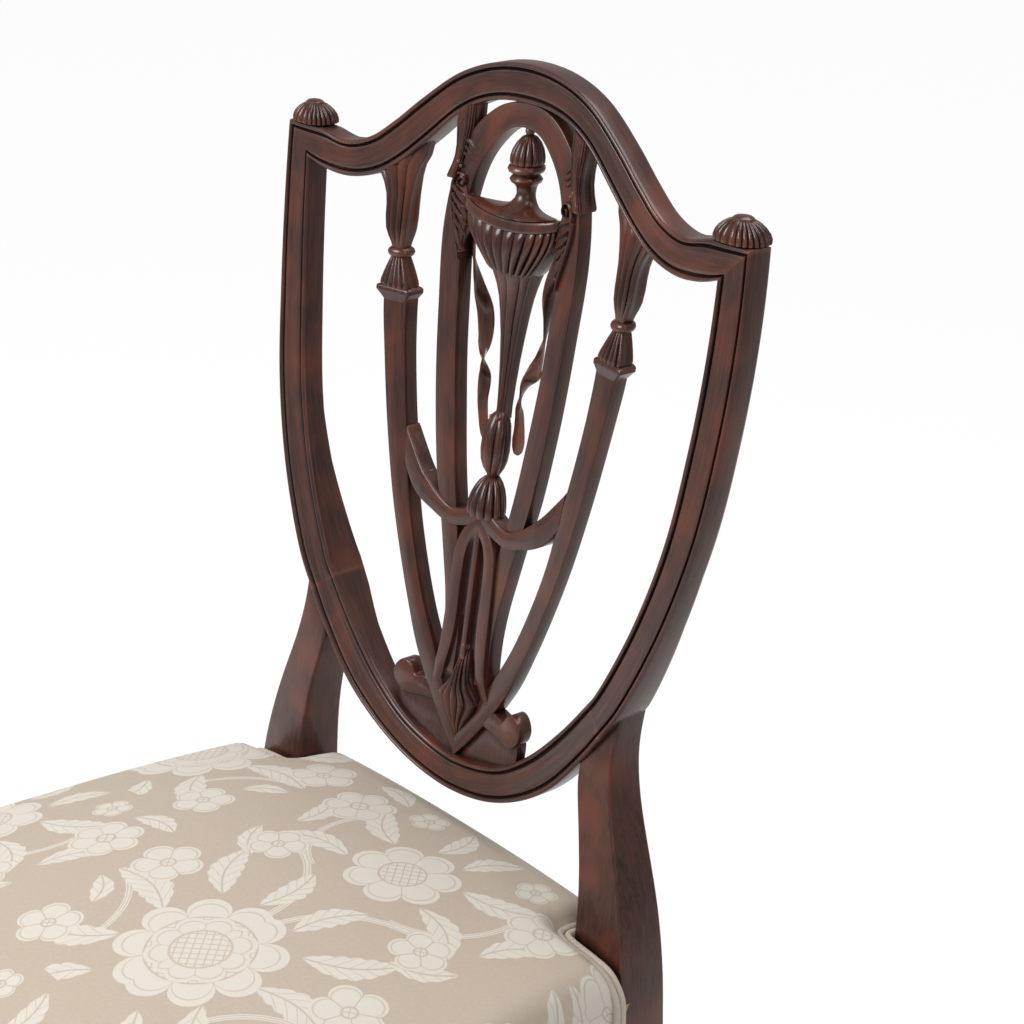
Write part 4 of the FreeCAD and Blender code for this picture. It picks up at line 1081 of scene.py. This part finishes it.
def welt(material):
    """Double cords: round each post on the seat, and along the lower edge of the cover."""
    piece = Maker()
    for sign in (1, -1):
        for step in (1, 3):
            off = step * CORD
            x0, y0 = NOTCH_X + 0.4 - off, POST_FRONT - off
            r = 5.0 + off
            out = side_edge(y0) - 1.0
            flat = [(x0, SEAT_REAR - 8.0), (x0, y0 + r), (x0 + r * 0.25, y0 + r * 0.25), (x0 + r, y0),
                    (184.0, y0), (199.0, y0), (out - 5.0, y0)]
            run = [(x0 + 1.0, SEAT_REAR + 5.6, 446.0), (x0 + 0.4, SEAT_REAR + 3.4, 455.5)]
            run += [(x, y, under_cord(x, y) + CORD - 0.5) for x, y in flat]
            drop = run[-1][2]
            run += [(out + 1.6, y0, drop - 10.0), (out + 2.6, y0, drop - 26.0), (out + 2.8, y0, 420.0),
                    (out + 2.8, y0, 381.0)]
            cord_run(piece, [(sign * x, y, z) for x, y, z in run], CORD, 190)
    corner, front, rear = LEG_OUT + GROW + 1.6, SEAT_FRONT - GROW - 1.6, SEAT_REAR + GROW + 1.6
    rear_x = side_edge(NOTCH_Y) + 1.6
    half = [(0.0, front), (80.0, front), (160.0, front), (corner - 22.0, front), (corner - 6.0, front + 0.6),
            (corner - 0.8, front + 6.0), (corner - 2.4, front + 22.0),
            ((corner + rear_x) / 2, (front + NOTCH_Y) / 2), (rear_x + 1.6, NOTCH_Y - 14.0),
            (rear_x, NOTCH_Y + 1.0)]
    for z in (374.3, 378.0):
        cord_run(piece, [(x, y, z) for x, y in both_sides(half)], HEM_CORD, 520)
        cord_run(piece, [(x, rear, z) for x in (-157.0, -80.0, 0.0, 80.0, 157.0)], HEM_CORD, 120)
    made = piece.finish("seat_welt_cords", material, "seat_welt", sharp=60.0)


SPOT = {"Vector": None, "X": 0.0, "Y": 0.0}
DRAWN = {"Fill": "Float", "Line": "Float"}


def make_flower_group():
    """A flower seen from the front: petals, the lines between them, and a netted or plain heart."""
    w, given, give = new_group(
        "woven_flower", {**SPOT, "Size": 20.0, "Petals": 5.0, "Turn": 0.0, "Notch": 0.35, "Heart": 0.25}, DRAWN)
    x, y = w.parts(given["Vector"])
    dx, dy, size = x - given["X"], y - given["Y"], given["Size"]
    far = w.math("SQRT", dx * dx + dy * dy)
    angle = w.math("ARCTAN2", dy, dx) + given["Turn"]
    lobe = abs(w.math("COSINE", angle * (given["Petals"] * 0.5)))
    share = (1.0 - given["Notch"]) + given["Notch"] * w.math("POWER", lobe, 0.5)
    short = size * share - far
    between = 1.0 - w.ramp(lobe * far, 0.5, 1.1)
    heart = size * given["Heart"]
    outside = w.ramp(far - heart, 0.0, 0.8)
    ring = 1.0 - w.ramp(abs(far - heart), 0.3, 0.8)
    hem = 1.0 - w.ramp(abs(short - size * 0.11), 0.2, 0.7)
    net_a, net_b = (abs(w.math("SINE", run * 0.55)) for run in (dx + dy, dx - dy))
    net = (1.0 - w.ramp(w.math("MINIMUM", net_a, net_b), 0.14, 0.34)) * (1.0 - outside)
    line = w.math("MAXIMUM", between * outside, ring)
    line = w.math("MAXIMUM", w.math("MAXIMUM", line, hem * 0.8), net)
    return give(Fill=w.ramp(short, -0.35, 0.35), Line=line)


def make_leaf_group():
    """A bent leaf with a toothed edge, a middle vein and side veins."""
    w, given, give = new_group(
        "woven_leaf", {**SPOT, "Turn": 0.0, "Length": 40.0, "Width": 8.0, "Bend": 6.0, "Teeth": 0.16}, DRAWN)
    x, y = w.parts(given["Vector"])
    dx, dy = x - given["X"], y - given["Y"]
    cosine, sine = w.math("COSINE", given["Turn"]), w.math("SINE", given["Turn"])
    along, across = dx * cosine + dy * sine, dy * cosine - dx * sine
    t = along / given["Length"]
    on = w.ramp(t, 0.0, 0.02) * (1.0 - w.ramp(t, 0.98, 1.0))
    arch = w.math("SINE", w.math("MAXIMUM", w.math("MINIMUM", t, 1.0), 0.0) * math.pi)
    off = abs(across - given["Bend"] * arch)
    teeth = (1.0 - given["Teeth"]) + given["Teeth"] * abs(w.math("SINE", along * 0.42))
    half = given["Width"] * w.math("POWER", arch, 0.75) * teeth
    vein = 1.0 - w.ramp(off, 0.25, 0.75)
    ribs = (1.0 - w.ramp(abs(w.math("SINE", (along - off * 1.3) * 0.42)), 0.06, 0.22)) * 0.85
    return give(Fill=w.ramp(half - off, -0.3, 0.4) * on, Line=w.math("MAXIMUM", vein, ribs))


def make_stem_group():
    """A stem that follows part of a circle."""
    w, given, give = new_group(
        "woven_stem", {**SPOT, "Radius": 40.0, "Half": 2.0, "Middle": 0.0, "Reach": 1.0}, DRAWN)
    x, y = w.parts(given["Vector"])
    dx, dy = x - given["X"], y - given["Y"]
    angle = w.math("ARCTAN2", dy, dx) - given["Middle"]
    angle = w.math("ARCTAN2", w.math("SINE", angle), w.math("COSINE", angle))
    inside = w.ramp(given["Reach"] - abs(angle), 0.0, 0.02)
    gap = abs(w.math("SQRT", dx * dx + dy * dy) - given["Radius"])
    return give(Fill=w.ramp(given["Half"] - gap, -0.3, 0.3) * inside,
                Line=1.0 - w.ramp(abs(gap - given["Half"] * 0.45), 0.1, 0.5))


FLOWER, LEAF, STEM = make_flower_group(), make_leaf_group(), make_stem_group()

# One half of the repeat, 100 mm wide and 250 mm high; the other half is its mirror image
REPEAT_WIDE, REPEAT_HIGH, PATTERN_SCALE = 200.0, 250.0, 0.76
MOTIFS = [
    (STEM, ("X", "Y", "Radius", "Half", "Middle", "Reach"), [
        (62, 95, 58, 1.9, 2.6, 0.75), (20, 190, 44, 1.7, -0.35, 0.95), (96, 20, 52, 1.7, 2.4, 0.6)]),
    (LEAF, ("X", "Y", "Turn", "Length", "Width", "Bend"), [
        (34, 96, 0.85, 46, 9, -5), (40, 66, 0.10, 50, 10, 6), (36, 40, -0.55, 44, 9, -6),
        (14, 104, 1.35, 40, 8, 4), (20, 16, -1.1, 34, 7, 4), (30, 168, -0.35, 44, 8, 6),
        (28, 196, 0.55, 42, 9, -5), (10, 210, 1.25, 34, 7, 4), (58, 128, 0.75, 34, 6, -4),
        (76, 168, 1.2, 36, 7, 4), (70, 44, 0.7, 26, 6, 3), (64, 232, 0.15, 32, 7, 4)]),
    (FLOWER, ("X", "Y", "Size", "Petals", "Turn", "Notch", "Heart"), [
        (0, 62, 43, 9, 0.0, 0.30, 0.62), (0, 62, 27, 9, 0.35, 0.22, 0.55), (0, 180, 30, 7, 0.22, 0.30, 0.40),
        (70, 20, 17, 5, 0.4, 0.36, 0.2), (78, 92, 19, 5, 1.1, 0.36, 0.2), (60, 146, 16, 5, 0.0, 0.36, 0.2),
        (76, 208, 20, 6, 0.8, 0.34, 0.24), (44, 230, 11, 5, 0.5, 0.34, 0.24)])]


def figure(w, flat):
    """The woven pattern: motifs laid over each other in a repeat, every other column half a step up."""
    x, y = w.parts(w.scaled(flat, PATTERN_SCALE, PATTERN_SCALE, PATTERN_SCALE))
    column = (x + 52.0) / REPEAT_WIDE
    cell = w.math("FLOOR", column)
    u = abs((column - cell - 0.5) * REPEAT_WIDE)
    row = (y + cell * (REPEAT_HIGH / 2) + 1360.0) / REPEAT_HIGH
    spot = w.put("ShaderNodeCombineXYZ", {"X": u, "Y": w.math("FRACT", row) * REPEAT_HIGH})
    fill = line = 0.0
    for group, keys, rows in MOTIFS:
        for values in rows:
            motif = w.place(group, {"Vector": spot.outputs[0], **dict(zip(keys, values))})
            here = w.read(motif, "Fill")
            fill = w.math("MAXIMUM", fill, here)
            line = w.math("ADD", line * (1.0 - here), w.read(motif, "Line") * here, clamp=True)
    return fill * (1.0 - line * 0.85)


def damask(name, figured=True):
    """Satin ground in warm tan with a woven pattern in cream, on the cloth's own flat coordinates."""
    material, w, shader = new_material(name)
    flat = w.read(w.put("ShaderNodeAttribute", attribute_name="cloth" if figured else "grain"), "Vector")
    ground, cream = (0.475, 0.395, 0.315, 1.0), (0.63, 0.585, 0.515, 1.0)
    lit, thread_dark = (0.80, 0.74, 0.66, 1.0), (0.35, 0.28, 0.21, 1.0)
    shown = figure(w, flat) if figured else w.noise(flat, 0.9, 2.0, 0.5) * 0.4
    mottle = w.noise(flat, 0.35, 5.0, 0.7)
    base = w.mix(w.ramp(shown, 0.0, 1.0, soft=False), ground, cream)
    base = w.mix(w.math("MULTIPLY", mottle - 0.5, 0.5, clamp=True), base, lit)
    threads = w.place(WEAVE, {"Vector": flat})
    w.feed(shader.inputs["Base Color"], w.mix(w.read(threads, "Threads") * 0.05, base, thread_dark))
    w.feed(shader.inputs["Roughness"], 0.50 + shown * 0.18)
    shader.inputs["Specular IOR Level"].default_value = 0.35
    shader.inputs["Sheen Weight"].default_value = 0.12
    shader.inputs["Sheen Roughness"].default_value = 0.4
    w.feed(shader.inputs["Normal"], w.read(threads, "Normal"))
    return material


DAMASK = damask("damask")
WELT_CLOTH = damask("welt_cloth", figured=False)
seat_piece(DAMASK)
welt(WELT_CLOTH)

# ---------------------------------------------------------------- finishes for the carried over pieces

finishes = {
    "mahogany": LEG_WOOD,
    "damask": DAMASK,
    "welt_cloth": WELT_CLOTH,
    "beech": plain("beech", (0.42, 0.27, 0.15, 1.0), 0.6),
    "webbing": plain("jute_webbing", (0.30, 0.21, 0.12, 1.0), 0.9),
    "black_cloth": plain("black_dust_cloth", (0.012, 0.012, 0.012, 1.0), 0.9),
    "steel": plain("zinc_steel", (0.5, 0.5, 0.5, 1.0), 0.35),
    "glide": plain("dark_glide", (0.02, 0.017, 0.014, 1.0), 0.45),
    "foam": plain("foam", (0.75, 0.68, 0.45, 1.0), 0.95),
}
slot_of = {row["node"]: row["material_slot"] for row in frame["record"]["subparts"]}
for node, thing in frame["nodes"].items():
    thing.data.materials.clear()
    thing.data.materials.append(finishes[slot_of[node]])

# ---------------------------------------------------------------- floor and light


def make_floor():
    """A pale floor that keeps shadows and looks white to the camera."""
    bm = bmesh.new()
    bmesh.ops.create_grid(bm, x_segments=1, y_segments=1, size=20.0)
    material, w, shader = new_material("pale_floor")
    shader.inputs["Base Color"].default_value = (0.85, 0.85, 0.84, 1.0)
    shader.inputs["Roughness"].default_value = 0.9
    glow = w.put("ShaderNodeEmission", {"Color": (1.0, 1.0, 1.0, 1.0), "Strength": 1.03})
    seen = w.read(w.put("ShaderNodeLightPath"), "Is Camera Ray") * 0.91
    blend = w.put("ShaderNodeMixShader", {0: seen, 1: shader.outputs[0], 2: glow.outputs[0]})
    w.feed(w.tree.nodes["Material Output"].inputs["Surface"], blend.outputs[0])
    floor = place_piece("floor", bm, material)


def soft_lamp(name, place, size, power):
    """A rectangular lamp that faces the middle of the chair."""
    target = Vector((0, 0, 0.7))
    lamp = bpy.data.lights.new(name, "AREA")
    lamp.shape = "RECTANGLE"
    lamp.size, lamp.size_y = size
    lamp.energy = power
    thing = bpy.data.objects.new(name, lamp)
    bpy.context.scene.collection.objects.link(thing)
    thing.location = place
    thing.rotation_euler = (target - Vector(place)).to_track_quat("-Z", "Y").to_euler()


make_floor()
soft_lamp("key_lamp", (-1.3, -2.6, 2.7), (1.8, 1.8), 108.0)
soft_lamp("side_lamp", (2.6, -1.0, 1.9), (1.4, 1.6), 9.0)
soft_lamp("top_lamp", (0.2, 0.6, 3.0), (2.0, 1.4), 38.0)
world = bpy.data.worlds.new("studio")
bpy.context.scene.world = world
world.use_nodes = True
background = world.node_tree.nodes["Background"]
background.inputs["Color"].default_value = (1.0, 1.0, 1.0, 1.0)
sky = Wires(world.node_tree)
seen_by_camera = sky.read(sky.put("ShaderNodeLightPath"), "Is Camera Ray")
sky.feed(background.inputs["Strength"], 0.40 + seen_by_camera * 0.56)

bpy.context.scene.view_settings.view_transform = "Standard"
